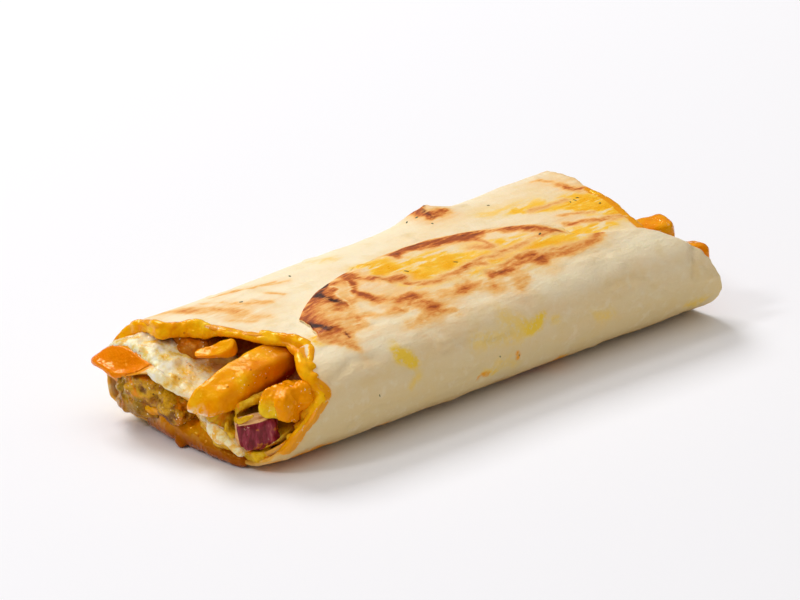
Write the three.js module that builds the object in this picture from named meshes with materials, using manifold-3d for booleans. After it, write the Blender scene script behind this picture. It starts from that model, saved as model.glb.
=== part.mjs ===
// A grilled shish tawook wrap, lying on its flat underside with both ends open.
//
// One round flatbread is rolled a little over two turns. It starts at the arc-shaped edge of
// the flap on top, goes down the shown side wall, along the floor, up the far wall, over the
// top under the flap, once more round inside, and ends as a slanting web that parts the
// chicken below from the slaw, fries and onion above.
//
// Millimetres. X runs along the wrap and the shown open end is at -X. The shown side wall is
// at -Y. Z is up and the floor is z = 0.
//
// The sheet and the fillings are laid out in a straight roll, whose section is the same all
// along X, and one smooth bend then moves all of them into the uneven real shape. So what is
// clear of its neighbour in the straight roll is clear of it in the real one.

import * as THREE from "three";
import { mergeVertices } from "three/addons/utils/BufferGeometryUtils.js";
import Module from "manifold-3d";

// Driving dimensions

const ROLL_WIDTH = 71;
const ROLL_HEIGHT = 38;
const ROLL_MIDDLE = 17; // height at which the roll is widest
const TOP_SQUARENESS = 2.7; // 2 is an ellipse, more is squarer
const CORNER_WIDTH = 13; // the bottom corners are quarter ellipses this wide
const SHEET = 1.8; // thickness of the bread
const GAP = 0.35; // room between two layers of the sheet
const CLEARANCE = 0.3; // room between any two pieces
const CORE_ROOM = 1.0; // room between a filling's plain sides and the sheet

// The sheet's start, tuck and web, as places on the roll in degrees from +Y over +Z

const APEX_DEGREES = 82.7; // the flap's furthest edge, just behind the middle of the top
const TUCK_DEGREES = [385, 436]; // here the sheet moves in, to pass under the flap
const WEB_DEGREES = [725, 745]; // here it moves in again, and leaves the roll's wall
const LEAVE_DEGREES = 742;
const WEB_END = [-23.5, 5.4]; // y and z of the sheet's inner end
const WEB_LEAVING = 16; // how far the web runs on before it turns down
const WEB_ARRIVING = [14, 9];

// The edge of the flap is an arc, as the bread is round

const ARC_RADIUS = 88;
const ARC_MIDDLE = -4;
const ARC_FADE = 34; // distance along the sheet over which the arc's shift fades

// Rims of the sheet, as [distance along the sheet from the flap's apex, x]

const NEAR_RIM = [
  [0, -57], [19, -59], [27, -69], [34, -73], [40, -75], [46, -72.5], [52, -77], [57, -82.5], [61, -84.5],
  [67, -87.5], [76, -90], [100, -88.5], [122, -91], [133, -93], [144, -91], [152, -88], [160, -86],
  [172, -87], [177, -82], [184, -78], [195, -74], [206, -68.5], [215, -69.5], [225, -71], [236, -77],
  [248, -86], [257, -89], [285, -87], [315, -90], [328, -92], [334, -97], [341, -99.5], [350, -100],
  [356, -97.5], [362, -96], [368, -95], [372, -93.5], [378, -95.5], [390, -94], [405, -91],
];
const FAR_RIM = [
  [0, 49], [19, 51], [31, 68], [36, 75], [42, 82], [48, 87.5], [54, 91.5], [61, 94], [70, 94.5], [90, 94],
  [125, 94], [146, 93], [158, 90], [165, 86], [172, 85], [182, 82], [195, 79], [204, 75.5], [215, 73],
  [225, 78], [236, 86], [247, 91], [257, 91], [285, 90], [315, 91], [335, 89], [350, 86], [375, 89],
  [405, 90],
];
const RIM_RIPPLE = 0.5;

// The lip of the web that hangs down at the shown end

const LIP = { from: 327, to: 358, fade: 9, start: -92.5, run: 6.5, drop: 7.5, flare: 7 };

// The bend, as values at equal stations from the shown end to the far end

const REACH = 100;
const FRONT_SCALE = [1.08, 1.16, 1.18, 1.22, 1.27];
const BACK_SCALE = [0.98, 1.0, 1.0, 1.0, 1.0];
const HEIGHT_SCALE = [0.88, 0.91, 0.93, 0.99, 1.02];
const SHOWN_END_LIFT = { start: -78, run: 22, height: 1.6 };
const UNDERSIDE_CROWN = { flat: 14, run: 8, height: 0.4 }; // the underside's edges lie just off the floor
const FAR_FRONT_DROP = 0.04; // the top slopes down to the shown side near the far end
const BLISTER = { x: 31.5, y: 29, radius: [9, 8], height: 5 };
const SWELL = 0.6; // soft unevenness of the whole roll

// Colours

const COLOURS = {
  bread: [0xe9d9b8, 0.75],
  chicken: [0xb08a3a, 0.45],
  slaw: [0xdccb7c, 0.4],
  fry: [0xea8a1c, 0.35],
  orangeSauce: [0xe8861a, 0.3],
  onion: [0x8e2f56, 0.35],
};

// Small functions

const clamp01 = (t) => Math.min(1, Math.max(0, t));
const mix = (a, b, t) => a + (b - a) * t;

function smooth(t) {
  const c = clamp01(t);
  return c * c * (3 - 2 * c);
}

function hill(t) {
  return Math.exp(-t * t);
}

/** A smooth curve through [place, value] stops that never overshoots them. */
function curveThrough(stops) {
  const slopes = stops.map((stop, i) => {
    if (i === 0 || i === stops.length - 1) return 0;
    const before = (stop[1] - stops[i - 1][1]) / (stop[0] - stops[i - 1][0]);
    const after = (stops[i + 1][1] - stop[1]) / (stops[i + 1][0] - stop[0]);
    return before * after <= 0 ? 0 : (2 * before * after) / (before + after);
  });
  return (place) => {
    const last = stops.length - 1;
    if (place <= stops[0][0]) return stops[0][1];
    if (place >= stops[last][0]) return stops[last][1];
    const i = stops.findIndex((stop) => stop[0] > place) - 1;
    const run = stops[i + 1][0] - stops[i][0];
    const t = (place - stops[i][0]) / run;
    const rise = stops[i + 1][1] - stops[i][1];
    const curve = t * t * (3 - 2 * t) * rise;
    const lean = t * (1 - t) * ((1 - t) * slopes[i] - t * slopes[i + 1]) * run;
    return stops[i][1] + curve + lean;
  };
}

/** A smooth curve through values at equal stations from -REACH to REACH. */
function alongRoll(values) {
  const spacing = (2 * REACH) / (values.length - 1);
  return curveThrough(values.map((value, i) => [-REACH + i * spacing, value]));
}

/** Uneven but repeatable, between about -1 and 1. */
function ripple(a, b, c) {
  return (Math.sin(a + 1.7 * Math.sin(b)) + Math.sin(1.3 * b + 0.9 * Math.sin(c)) + Math.sin(1.1 * c + a)) / 3;
}

// The roll's section

/** The middle of the sheet's outer layer, as [y, z]. */
function sectionPoint(degrees) {
  const half = ROLL_WIDTH / 2 - SHEET / 2;
  const turn = THREE.MathUtils.euclideanModulo(degrees, 360);
  if (turn < 180) {
    const cosine = Math.cos(THREE.MathUtils.degToRad(turn));
    const sine = Math.sin(THREE.MathUtils.degToRad(turn));
    const power = 2 / TOP_SQUARENESS;
    const y = Math.sign(cosine) * Math.abs(cosine) ** power * half;
    return [y, ROLL_MIDDLE + sine ** power * (ROLL_HEIGHT - SHEET / 2 - ROLL_MIDDLE)];
  }
  const side = turn < 270 ? -1 : 1;
  const fromSide = Math.min(turn - 180, 360 - turn); // 90 in the middle of the flat bottom
  if (fromSide > 60) return [(side * (half - CORNER_WIDTH) * (90 - fromSide)) / 30, SHEET / 2];
  const corner = THREE.MathUtils.degToRad(fromSide * 1.5);
  const y = side * (half - CORNER_WIDTH * (1 - Math.cos(corner)));
  return [y, ROLL_MIDDLE - Math.sin(corner) * (ROLL_MIDDLE - SHEET / 2)];
}

const LOOP_STEP = 0.5;
const loop = [];
for (let degrees = APEX_DEGREES; degrees <= APEX_DEGREES + 360; degrees += LOOP_STEP) {
  const [y, z] = sectionPoint(degrees);
  const before = loop[loop.length - 1];
  const at = before ? before.at + Math.hypot(y - before.y, z - before.z) : 0;
  loop.push({ y, z, at });
}
const LAP = loop[loop.length - 1].at; // length of one turn

/** Distance along the sheet at which it has turned to a number of degrees. */
function distanceAt(degrees) {
  const turned = degrees - APEX_DEGREES;
  const laps = Math.floor(turned / 360);
  return laps * LAP + loop[Math.round((turned - laps * 360) / LOOP_STEP)].at;
}

function loopPoint(distance) {
  const at = distance - Math.floor(distance / LAP) * LAP;
  const i = Math.max(1, loop.findIndex((point) => point.at >= at));
  const t = (at - loop[i - 1].at) / (loop[i].at - loop[i - 1].at);
  return [mix(loop[i - 1].y, loop[i].y, t), mix(loop[i - 1].z, loop[i].z, t)];
}

/** Unit vector across a path, to the outer side of the roll. */
function acrossPath(path, distance) {
  const before = path(distance - LOOP_STEP);
  const after = path(distance + LOOP_STEP);
  const length = Math.hypot(after[0] - before[0], after[1] - before[1]);
  return [(after[1] - before[1]) / length, -(after[0] - before[0]) / length];
}

const [TUCK_FROM, TUCK_TO] = TUCK_DEGREES.map(distanceAt);
const [WEB_FROM, WEB_TO] = WEB_DEGREES.map(distanceAt);
const LEAVE = distanceAt(LEAVE_DEGREES);

function wallPoint(distance) {
  const [y, z] = loopPoint(distance);
  const out = acrossPath(loopPoint, distance);
  const tucked = smooth((distance - TUCK_FROM) / (TUCK_TO - TUCK_FROM));
  const leaving = smooth((distance - WEB_FROM) / (WEB_TO - WEB_FROM));
  const inset = (SHEET + GAP) * (tucked + leaving);
  return [y - out[0] * inset, z - out[1] * inset];
}

const webStart = new THREE.Vector2(...wallPoint(LEAVE));
const webAhead = new THREE.Vector2(...wallPoint(LEAVE + LOOP_STEP)).sub(webStart).normalize();
const webEnd = new THREE.Vector2(...WEB_END);
const web = new THREE.CubicBezierCurve(
  webStart,
  webStart.clone().addScaledVector(webAhead, WEB_LEAVING),
  webEnd.clone().add(new THREE.Vector2(...WEB_ARRIVING)),
  webEnd,
);
const SHEET_LENGTH = LEAVE + web.getLength();

/** The middle of the sheet at a distance from the flap's apex, as [y, z]. */
function sheetPath(distance) {
  if (distance < LEAVE) return wallPoint(distance);
  const { x, y } = web.getPointAt(clamp01((distance - LEAVE) / (SHEET_LENGTH - LEAVE)));
  return [x, y];
}

/** A point of the section that lies off the middle of the sheet, outwards or inwards. */
function offSheet(distance, outwards) {
  const inside = Math.min(distance, SHEET_LENGTH - 2 * LOOP_STEP);
  const [y, z] = sheetPath(distance);
  const out = acrossPath(sheetPath, inside);
  return [y + out[0] * outwards, z + out[1] * outwards];
}

// The bend

const frontScale = alongRoll(FRONT_SCALE);
const backScale = alongRoll(BACK_SCALE);
const heightScale = alongRoll(HEIGHT_SCALE);

/** Moves a point of the straight roll to its place in the real one. */
function bend(x, y, z) {
  const level = z / ROLL_HEIGHT;
  const sway = SWELL * ripple(x / 17, level * 2, y / 60);
  const wide = y * (y < 0 ? frontScale(x) : backScale(x)) + sway * smooth(level * 2);
  const farFront = smooth((x - 45) / 55) * smooth((15 - y) / 45);
  const endLift = SHOWN_END_LIFT.height * smooth((SHOWN_END_LIFT.start - x) / SHOWN_END_LIFT.run);
  const crown = UNDERSIDE_CROWN.height * smooth((Math.abs(y) - UNDERSIDE_CROWN.flat) / UNDERSIDE_CROWN.run);
  const blisterX = (x - BLISTER.x) / BLISTER.radius[0];
  const blisterY = (y - BLISTER.y) / BLISTER.radius[1];
  const swell = SWELL * ripple(x / 13, y / 14, 2) + BLISTER.height * hill(Math.hypot(blisterX, blisterY));
  const high = z * (heightScale(x) - FAR_FRONT_DROP * farFront) + swell * level * level;
  return [x, wide, high + (endLift + crown) * (1 - level)];
}

// The flatbread

const nearRim = curveThrough(NEAR_RIM);
const farRim = curveThrough(FAR_RIM);

/** How far the flap's edge lies back from its apex at x. */
function arcShift(x) {
  const off = Math.min(Math.abs(x - ARC_MIDDLE), ARC_RADIUS * 0.7);
  return ARC_RADIUS - Math.sqrt(ARC_RADIUS * ARC_RADIUS - off * off);
}

/** How much the web's lip hangs out and down at a place on the sheet, from 0 to 1. */
function lipShare(distance, x) {
  const across = smooth((distance - LIP.from) / LIP.fade) * smooth((LIP.to - distance) / LIP.fade);
  return across * smooth((LIP.start - x) / LIP.run);
}

function sheetPoint(distance, t, outwards, beyond) {
  const rimRipple = RIM_RIPPLE * ripple(distance / 3.1, distance / 7, 1);
  const x = mix(nearRim(distance) + rimRipple - beyond, farRim(distance) + rimRipple + beyond, t);
  const shift = arcShift(x) * (1 - smooth(distance / ARC_FADE));
  const start = beyond * (1 - smooth(distance / 6));
  const end = beyond * smooth((distance - SHEET_LENGTH + 6) / 6);
  const [y, z] = offSheet(distance + shift - start + end, outwards);
  const lip = lipShare(distance, x);
  return bend(x, y + LIP.flare * lip, z - LIP.drop * lip);
}

/** Closed solid between two grids of points. pointAt takes row, column and side, 1 or -1. */
function slab(rows, columns, pointAt) {
  const positions = [];
  const indices = [];
  const at = (side, row, column) => ((side < 0 ? rows + 1 : 0) + row) * (columns + 1) + column;
  const quad = (a, b, c, d) => indices.push(a, b, c, a, c, d);
  for (const side of [1, -1]) {
    for (let row = 0; row <= rows; row++) {
      for (let column = 0; column <= columns; column++) positions.push(...pointAt(row, column, side));
    }
  }
  for (let row = 0; row < rows; row++) {
    for (let column = 0; column < columns; column++) {
      quad(at(1, row, column), at(1, row + 1, column), at(1, row + 1, column + 1), at(1, row, column + 1));
      quad(at(-1, row, column), at(-1, row, column + 1), at(-1, row + 1, column + 1), at(-1, row + 1, column));
    }
    quad(at(1, row, 0), at(-1, row, 0), at(-1, row + 1, 0), at(1, row + 1, 0));
    quad(at(1, row, columns), at(1, row + 1, columns), at(-1, row + 1, columns), at(-1, row, columns));
  }
  for (let column = 0; column < columns; column++) {
    quad(at(1, 0, column), at(1, 0, column + 1), at(-1, 0, column + 1), at(-1, 0, column));
    quad(at(1, rows, column), at(-1, rows, column), at(-1, rows, column + 1), at(1, rows, column + 1));
  }
  return closedGeometry(positions, indices);
}

function closedGeometry(positions, indices) {
  const geometry = new THREE.BufferGeometry();
  geometry.setAttribute("position", new THREE.Float32BufferAttribute(positions, 3));
  geometry.setIndex(indices);
  return geometry;
}

const ROWS_PER_LAP = 42; // rows lie over one another in both laps, so flat facets keep their gap
const SHEET_ROWS = Math.round((SHEET_LENGTH / LAP) * ROWS_PER_LAP);

// Columns, as shares of the way from rim to rim: close together at the ends and the blister
const SHEET_COLUMNS = [
  0, 0.02, 0.045, 0.08, 0.13, 0.2, 0.29, 0.39, 0.49, 0.58, 0.62, 0.65, 0.68, 0.71, 0.76, 0.84, 0.91, 0.96, 1,
];

/** The rolled sheet from one row to another, thickened on every side by extra. */
function flatbread(firstRow, lastRow, extra) {
  return slab(lastRow - firstRow, SHEET_COLUMNS.length - 1, (step, column, side) => {
    const row = firstRow + step;
    const distance = row === SHEET_ROWS ? SHEET_LENGTH : (row * LAP) / ROWS_PER_LAP;
    return sheetPoint(distance, SHEET_COLUMNS[column], side * (SHEET / 2 + extra), extra);
  });
}

// Solids and booleans

const wasm = await Module();
wasm.setup();

function solidOf(geometry) {
  const bare = geometry.clone();
  bare.deleteAttribute("normal");
  bare.deleteAttribute("uv");
  const merged = mergeVertices(bare, 1e-4);
  return new wasm.Manifold(new wasm.Mesh({
    numProp: 3,
    vertProperties: new Float32Array(merged.attributes.position.array),
    triVerts: new Uint32Array(merged.index.array),
  }));
}

/** The largest body of a solid, without loose scraps left by a cut. */
function largestBody(solid) {
  return solid.decompose().reduce((best, body) => (body.volume() > best.volume() ? body : best));
}

function geometryOf(solid) {
  const mesh = largestBody(solid).getMesh();
  return closedGeometry(Array.from(mesh.vertProperties), Array.from(mesh.triVerts));
}

// Fillings

const OUTLINE_POINTS = 32;

/** Even points round a closed outline of [y, z] points. */
function evenOutline(points) {
  const corners = points.map(([y, z]) => new THREE.Vector2(y, z));
  if (!THREE.ShapeUtils.isClockWise(corners)) corners.reverse();
  const curve = new THREE.Path(corners);
  curve.closePath();
  return curve.getSpacedPoints(OUTLINE_POINTS).slice(0, OUTLINE_POINTS).map((p) => [p.x, p.y]);
}

function sheetSide(from, to, outwards) {
  const steps = 40;
  return Array.from({ length: steps + 1 }, (_, i) => offSheet(mix(from, to, i / steps), outwards));
}

const WEB_OPEN = LEAVE + 17; // past here the web is well clear of the wall above it
const WEB_SHUT = SHEET_LENGTH - 12; // and up to here of the bread below it
const ROOM = SHEET / 2 + CORE_ROOM;

/** Section of the lower compartment: the bottom, the far wall and the underside of the web. */
function lowerOutline() {
  const corner = distanceAt(630);
  const start = sheetSide(corner - 12, LEAVE, -ROOM);
  const web = sheetSide(LEAVE, WEB_SHUT, -ROOM);
  return evenOutline([...start, ...web]);
}

/** Section of the upper compartment: the top of the web, the shown wall and the top. */
function upperOutline() {
  const web = sheetSide(WEB_OPEN, SHEET_LENGTH - 2, ROOM);
  const wall = sheetSide(distanceAt(585), distanceAt(423), -ROOM);
  return evenOutline([...web, ...wall]);
}

// Places in the two compartments from which all of their outline can be seen
const LOWER_CENTRE = [12, 10];
const UPPER_CENTRE = [-12, 26];

const PLUG_RINGS = [1, 0.8, 0.55, 0.3];
const PLUG_STEPS = 5;

/** A filling that runs through the roll, with a relief at each end given as x over y and z. */
function plug(outline, centre, nearFace, farFace) {
  const positions = [];
  const indices = [];
  const count = outline.length;
  const addRing = (scale, xAt) => {
    for (const [y, z] of outline) {
      const ringY = mix(centre[0], y, scale);
      const ringZ = mix(centre[1], z, scale);
      positions.push(...bend(xAt(ringY, ringZ), ringY, ringZ));
    }
  };
  const rings = [];
  for (const scale of PLUG_RINGS.slice(1).reverse()) rings.push([scale, nearFace]);
  for (let step = 0; step <= PLUG_STEPS; step++) {
    rings.push([1, (y, z) => mix(nearFace(y, z), farFace(y, z), step / PLUG_STEPS)]);
  }
  for (const scale of PLUG_RINGS.slice(1)) rings.push([scale, farFace]);
  for (const [scale, xAt] of rings) addRing(scale, xAt);
  const nearTip = positions.length / 3;
  positions.push(...bend(nearFace(...centre), ...centre));
  positions.push(...bend(farFace(...centre), ...centre));
  for (let i = 0; i < count; i++) {
    const next = (i + 1) % count;
    for (let ring = 0; ring + 1 < rings.length; ring++) {
      const a = ring * count;
      const b = a + count;
      indices.push(a + i, b + i, b + next, a + i, b + next, a + next);
    }
    indices.push(nearTip, i, next);
    indices.push(nearTip + 1, (rings.length - 1) * count + next, (rings.length - 1) * count + i);
  }
  return closedGeometry(positions, indices);
}

/** An irregular block with rounded edges, such as a chunk of chicken. */
function chunk({ centre, size, turn = [0, 0, 0], squareness = 3, uneven = 0.08, seed = 0, detail = 2 }, extra) {
  const geometry = new THREE.IcosahedronGeometry(1, detail);
  const position = geometry.attributes.position;
  const point = new THREE.Vector3();
  const turned = new THREE.Euler(...turn.map(THREE.MathUtils.degToRad));
  for (let i = 0; i < position.count; i++) {
    point.fromBufferAttribute(position, i);
    const sum = Math.abs(point.x) ** squareness + Math.abs(point.y) ** squareness + Math.abs(point.z) ** squareness;
    const wobble = 1 + uneven * ripple(point.x * 4 + seed, point.y * 4 + seed, point.z * 4);
    point.multiplyScalar(wobble / sum ** (1 / squareness));
    point.set(...["x", "y", "z"].map((axis, k) => point[axis] * (size[k] / 2 + extra)));
    point.applyEuler(turned).add(new THREE.Vector3(...centre));
    position.setXYZ(i, ...point);
  }
  return geometry;
}

/** A fry: a straight-cut bar with softened edges, lying from one point to another. */
function fry({ from, to, width, height, roll }, extra) {
  const start = new THREE.Vector3(...from);
  const end = new THREE.Vector3(...to);
  const halfWidth = width / 2 + extra;
  const halfHeight = height / 2 + extra;
  const soft = 0.32 * width;
  const section = new THREE.Shape();
  section.moveTo(halfWidth - soft, -halfHeight);
  section.quadraticCurveTo(halfWidth, -halfHeight, halfWidth, soft - halfHeight);
  section.lineTo(halfWidth, halfHeight - soft);
  section.quadraticCurveTo(halfWidth, halfHeight, halfWidth - soft, halfHeight);
  section.lineTo(soft - halfWidth, halfHeight);
  section.quadraticCurveTo(-halfWidth, halfHeight, -halfWidth, halfHeight - soft);
  section.lineTo(-halfWidth, soft - halfHeight);
  section.quadraticCurveTo(-halfWidth, -halfHeight, soft - halfWidth, -halfHeight);
  section.closePath();
  const edge = 1.2;
  const length = start.distanceTo(end) + 2 * extra;
  const geometry = new THREE.ExtrudeGeometry(section, {
    depth: length - 2 * edge,
    curveSegments: 2,
    bevelThickness: edge,
    bevelSize: edge,
    bevelOffset: -edge,
    bevelSegments: 1,
  });
  geometry.translate(0, 0, edge - extra);
  geometry.rotateZ(THREE.MathUtils.degToRad(roll));
  const frame = new THREE.Matrix4().lookAt(end, start, new THREE.Vector3(0, 0, 1)).setPosition(start);
  geometry.applyMatrix4(frame);
  return geometry;
}

const SHRED_THICKNESS = 1.4;

/** A shred of cabbage: a flat strip along a curve through a few points. */
function shred({ through, width }) {
  const curve = new THREE.CatmullRomCurve3(through.map((point) => new THREE.Vector3(...point)));
  const section = new THREE.Shape();
  section.absellipse(0, 0, SHRED_THICKNESS / 2, width / 2, 0, 2 * Math.PI);
  return new THREE.ExtrudeGeometry(section, { extrudePath: curve, steps: 7, curveSegments: 3 });
}

// What shows at the ends

const SHOWN_FRY = { from: [-95, -15.5, 19], to: [-55, -16, 25], width: 11, height: 11, roll: 8 };
const SMALL_FRY = { from: [-83, 4, 25.2], to: [-76, -6, 28], width: 4.2, height: 4.5, roll: 20 };
const FAR_FRIES = [
  { from: [57, -25, 18], to: [95.5, -34, 18.5], width: 10, height: 11, roll: -10 },
  { from: [50, -14, 26], to: [87, -27, 28], width: 10, height: 9, roll: 5 },
];
const COATED_CHUNK = { centre: [-78.5, -30, 18.3], size: [19, 10, 14.5], turn: [0, 10, 10], squareness: 4, seed: 4 };
const ONION = { centre: [-85.5, -25.5, 11.5], size: [13, 6, 10], turn: [0, -12, -35], squareness: 5, seed: 2, detail: 1 };

const NEAR_CHICKEN = [
  { centre: [-90.5, 15, 15], size: [14, 15, 9], turn: [15, 0, 10], seed: 1, detail: 1 },
  { centre: [-90, 24, 12], size: [12, 10, 13], turn: [0, 10, 0], seed: 5, detail: 1 },
  { centre: [-89.5, 3, 11], size: [14, 13, 8], turn: [20, 0, 0], seed: 8, detail: 1 },
  { centre: [-90, 19, 7.8], size: [13, 15, 7], turn: [-5, 8, 5], seed: 3, detail: 1 },
];
const FAR_CHICKEN = [
  { centre: [89, 20, 14], size: [15, 13, 13], turn: [10, 0, 12], seed: 6, detail: 1 },
  { centre: [89, 5, 11.5], size: [13, 12, 10], turn: [25, 0, -8], seed: 9, detail: 1 },
  { centre: [88, 14, 7.5], size: [14, 16, 6], turn: [0, 0, 0], seed: 2, detail: 1 },
];
const CAVITY_CHICKEN = { centre: [-77, 11, 24.6], size: [13, 14, 7], turn: [8, 5, 0], seed: 7 };

const NEAR_SHREDS = [
  { through: [[-74, -19, 14], [-78, -22, 19], [-84, -22, 19], [-86, -18.5, 15.5], [-82, -17, 13.5]], width: 3 },
  { through: [[-78, -16, 12], [-88, -17, 12.5], [-93, -20, 10.5]], width: 4 },
  { through: [[-76, -6, 17], [-86, -5, 18.5], [-91, -9, 15.5]], width: 3.4 },
];
const FAR_SHREDS = [
  { through: [[76, -14, 17], [88, -15, 17], [94, -19, 13]], width: 4 },
  { through: [[74, -2, 21], [84, 2, 24], [90, -3, 19]], width: 3.4 },
  { through: [[74, -26, 27], [82, -22, 29], [87, -16, 27]], width: 3 },
];
const SAUCE_POOL = { centre: [-87.5, -4, 5], size: [13, 40, 7], seed: 11, uneven: 0.1 };

/** Where the chicken ends at the shown end: nearly at the rim of the bottom, uneven. */
function chickenNearFace(y, z) {
  return -88 + 1.5 * ripple(y / 4, z / 4, 1) + smooth((y + 5) / -15) * 2;
}

function chickenFarFace(y, z) {
  return 88 + 1.8 * ripple(y / 4, z / 4, 5) - z * 0.1;
}

/** The slaw stands out at the bottom and leans back to a hollow under the top. */
function slawNearFace(y, z) {
  return mix(-91, -66, smooth((z - 5) / 26)) + 1.2 * ripple(y / 3, z / 3, 2);
}

function slawFarFace(y, z) {
  return mix(91, 70, smooth((z - 6) / 28)) + 1.2 * ripple(y / 3, z / 3, 7);
}

// Assembly

/** The room that the sheet needs, joined from half turns, as its layers' rooms overlap. */
function roomOfSheet() {
  const halfTurn = ROWS_PER_LAP / 2;
  let room = solidOf(flatbread(0, halfTurn + 1, CLEARANCE));
  for (let row = halfTurn; row < SHEET_ROWS; row += halfTurn) {
    room = room.add(solidOf(flatbread(row, Math.min(row + halfTurn + 1, SHEET_ROWS), CLEARANCE)));
  }
  return room;
}

const sheetRoom = roomOfSheet();

/** Makes a loose piece, cut clear of the sheet and of the pieces made before it. */
const rooms = [];
function loosePiece(shape, values) {
  let solid = solidOf(shape(values, 0)).subtract(sheetRoom);
  for (const room of rooms) solid = solid.subtract(room);
  rooms.push(solidOf(shape(values, CLEARANCE)));
  return solid;
}

/** Makes a filling: a core with the pieces that show fused on, cut clear of all before it. */
function filling(core, fused) {
  let solid = solidOf(core);
  for (const [shape, values] of fused) solid = solid.add(solidOf(shape(values, 0)));
  solid = solid.subtract(sheetRoom);
  for (const room of rooms) solid = solid.subtract(room);
  return solid;
}

const wrap = new THREE.Group();

function addMesh(name, geometry, [colour, roughness]) {
  const material = new THREE.MeshStandardMaterial({ color: colour, roughness, metalness: 0 });
  const mesh = new THREE.Mesh(geometry, material);
  mesh.name = name;
  wrap.add(mesh);
}

addMesh("flatbread", flatbread(0, SHEET_ROWS, 0), COLOURS.bread);
addMesh("shown_fry", geometryOf(loosePiece(fry, SHOWN_FRY)), COLOURS.fry);
addMesh("small_fry", geometryOf(loosePiece(fry, SMALL_FRY)), COLOURS.fry);
FAR_FRIES.forEach((values, i) => {
  addMesh(`far_fry_${i + 1}`, geometryOf(loosePiece(fry, values)), COLOURS.fry);
});
addMesh("red_onion", geometryOf(loosePiece(chunk, ONION)), COLOURS.onion);
addMesh("coated_chunk", geometryOf(loosePiece(chunk, COATED_CHUNK)), COLOURS.orangeSauce);
addMesh("cavity_chicken", geometryOf(loosePiece(chunk, CAVITY_CHICKEN)), COLOURS.chicken);
addMesh("orange_sauce", geometryOf(loosePiece(chunk, SAUCE_POOL)), COLOURS.orangeSauce);

const chickenCore = plug(lowerOutline(), LOWER_CENTRE, chickenNearFace, chickenFarFace);
const chickenPieces = [...NEAR_CHICKEN, ...FAR_CHICKEN].map((values) => [chunk, values]);
addMesh("chicken_filling", geometryOf(filling(chickenCore, chickenPieces)), COLOURS.chicken);

const slawCore = plug(upperOutline(), UPPER_CENTRE, slawNearFace, slawFarFace);
const slawPieces = [...NEAR_SHREDS, ...FAR_SHREDS].map((values) => [shred, values]);
addMesh("slaw_filling", geometryOf(filling(slawCore, slawPieces)), COLOURS.slaw);

// The origin is on the floor, under the middle of the wrap
const middle = new THREE.Box3().setFromObject(wrap).getCenter(new THREE.Vector3());
wrap.position.set(-middle.x, -middle.y, 0);

export default wrap;
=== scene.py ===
"""Looks of the shish tawook wrap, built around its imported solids.

The bread and the fillings are laid out in a straight roll and bent into the real one, by the
same named sizes as the solids. Lengths are millimetres in the roll's own frame up to add_piece,
which turns them into metres in the frame of the solids.
"""
import math

import bpy
import bmesh
import numpy as np
from mathutils import Euler, Matrix, Vector


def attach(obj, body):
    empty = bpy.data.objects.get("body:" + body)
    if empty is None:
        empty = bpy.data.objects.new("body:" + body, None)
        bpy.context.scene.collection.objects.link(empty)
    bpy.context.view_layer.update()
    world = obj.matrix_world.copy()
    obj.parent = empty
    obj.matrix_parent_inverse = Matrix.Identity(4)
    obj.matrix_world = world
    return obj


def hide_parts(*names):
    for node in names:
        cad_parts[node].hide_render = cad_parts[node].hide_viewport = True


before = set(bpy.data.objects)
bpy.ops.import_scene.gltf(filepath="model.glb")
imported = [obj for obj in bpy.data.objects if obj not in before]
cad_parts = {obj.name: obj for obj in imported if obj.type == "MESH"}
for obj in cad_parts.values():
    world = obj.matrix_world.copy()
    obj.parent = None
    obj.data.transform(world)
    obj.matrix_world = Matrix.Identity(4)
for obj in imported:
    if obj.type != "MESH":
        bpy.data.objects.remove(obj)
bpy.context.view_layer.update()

# Sizes of the roll, the same as those of the solids

MM = 0.001
ORIGIN = (1.641, 4.435, 0.0)  # where the roll's own origin lies in the frame

ROLL_WIDTH = 71.0
ROLL_HEIGHT = 38.0
ROLL_MIDDLE = 17.0
TOP_SQUARENESS = 2.7
CORNER_WIDTH = 13.0
SHEET = 1.8
GAP = 0.35
CORE_ROOM = 1.0

APEX_DEGREES = 82.7
TUCK_DEGREES = (385, 436)
WEB_DEGREES = (725, 745)
LEAVE_DEGREES = 742
WEB_END = (-23.5, 5.4)
WEB_LEAVING = 16.0
WEB_ARRIVING = (14.0, 9.0)

ARC_RADIUS = 88.0
ARC_MIDDLE = -4.0
ARC_FADE = 34.0

# Rims of the sheet, as (distance along the sheet from the flap's apex, x)

NEAR_RIM = (
    (0, -57), (19, -59), (27, -69), (34, -73), (40, -75), (46, -72.5), (52, -77), (57, -82.5),
    (61, -84.5), (67, -87.5), (76, -90), (100, -88.5), (122, -91), (133, -93), (144, -91),
    (152, -88), (160, -86), (172, -87), (177, -82), (184, -78), (195, -74), (206, -68.5),
    (215, -69.5), (225, -71), (236, -77), (248, -86), (257, -89), (285, -87), (315, -90),
    (328, -92), (334, -97), (341, -99.5), (350, -100), (356, -97.5), (362, -96), (368, -95),
    (372, -93.5), (378, -95.5), (390, -94), (405, -91),
)
FAR_RIM = (
    (0, 49), (19, 51), (31, 68), (36, 75), (42, 82), (48, 87.5), (54, 91.5), (61, 94),
    (70, 94.5), (90, 94), (125, 94), (146, 93), (158, 90), (165, 86), (172, 85), (182, 82),
    (195, 79), (204, 75.5), (215, 73), (225, 78), (236, 86), (247, 91), (257, 91), (285, 90),
    (315, 91), (335, 89), (350, 86), (375, 89), (405, 90),
)
RIM_RIPPLE = 0.5

LIP_FROM = 327.0
LIP_TO = 358.0
LIP_FADE = 9.0
LIP_START = -92.5
LIP_RUN = 6.5
LIP_DROP = 7.5
LIP_FLARE = 7.0

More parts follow.
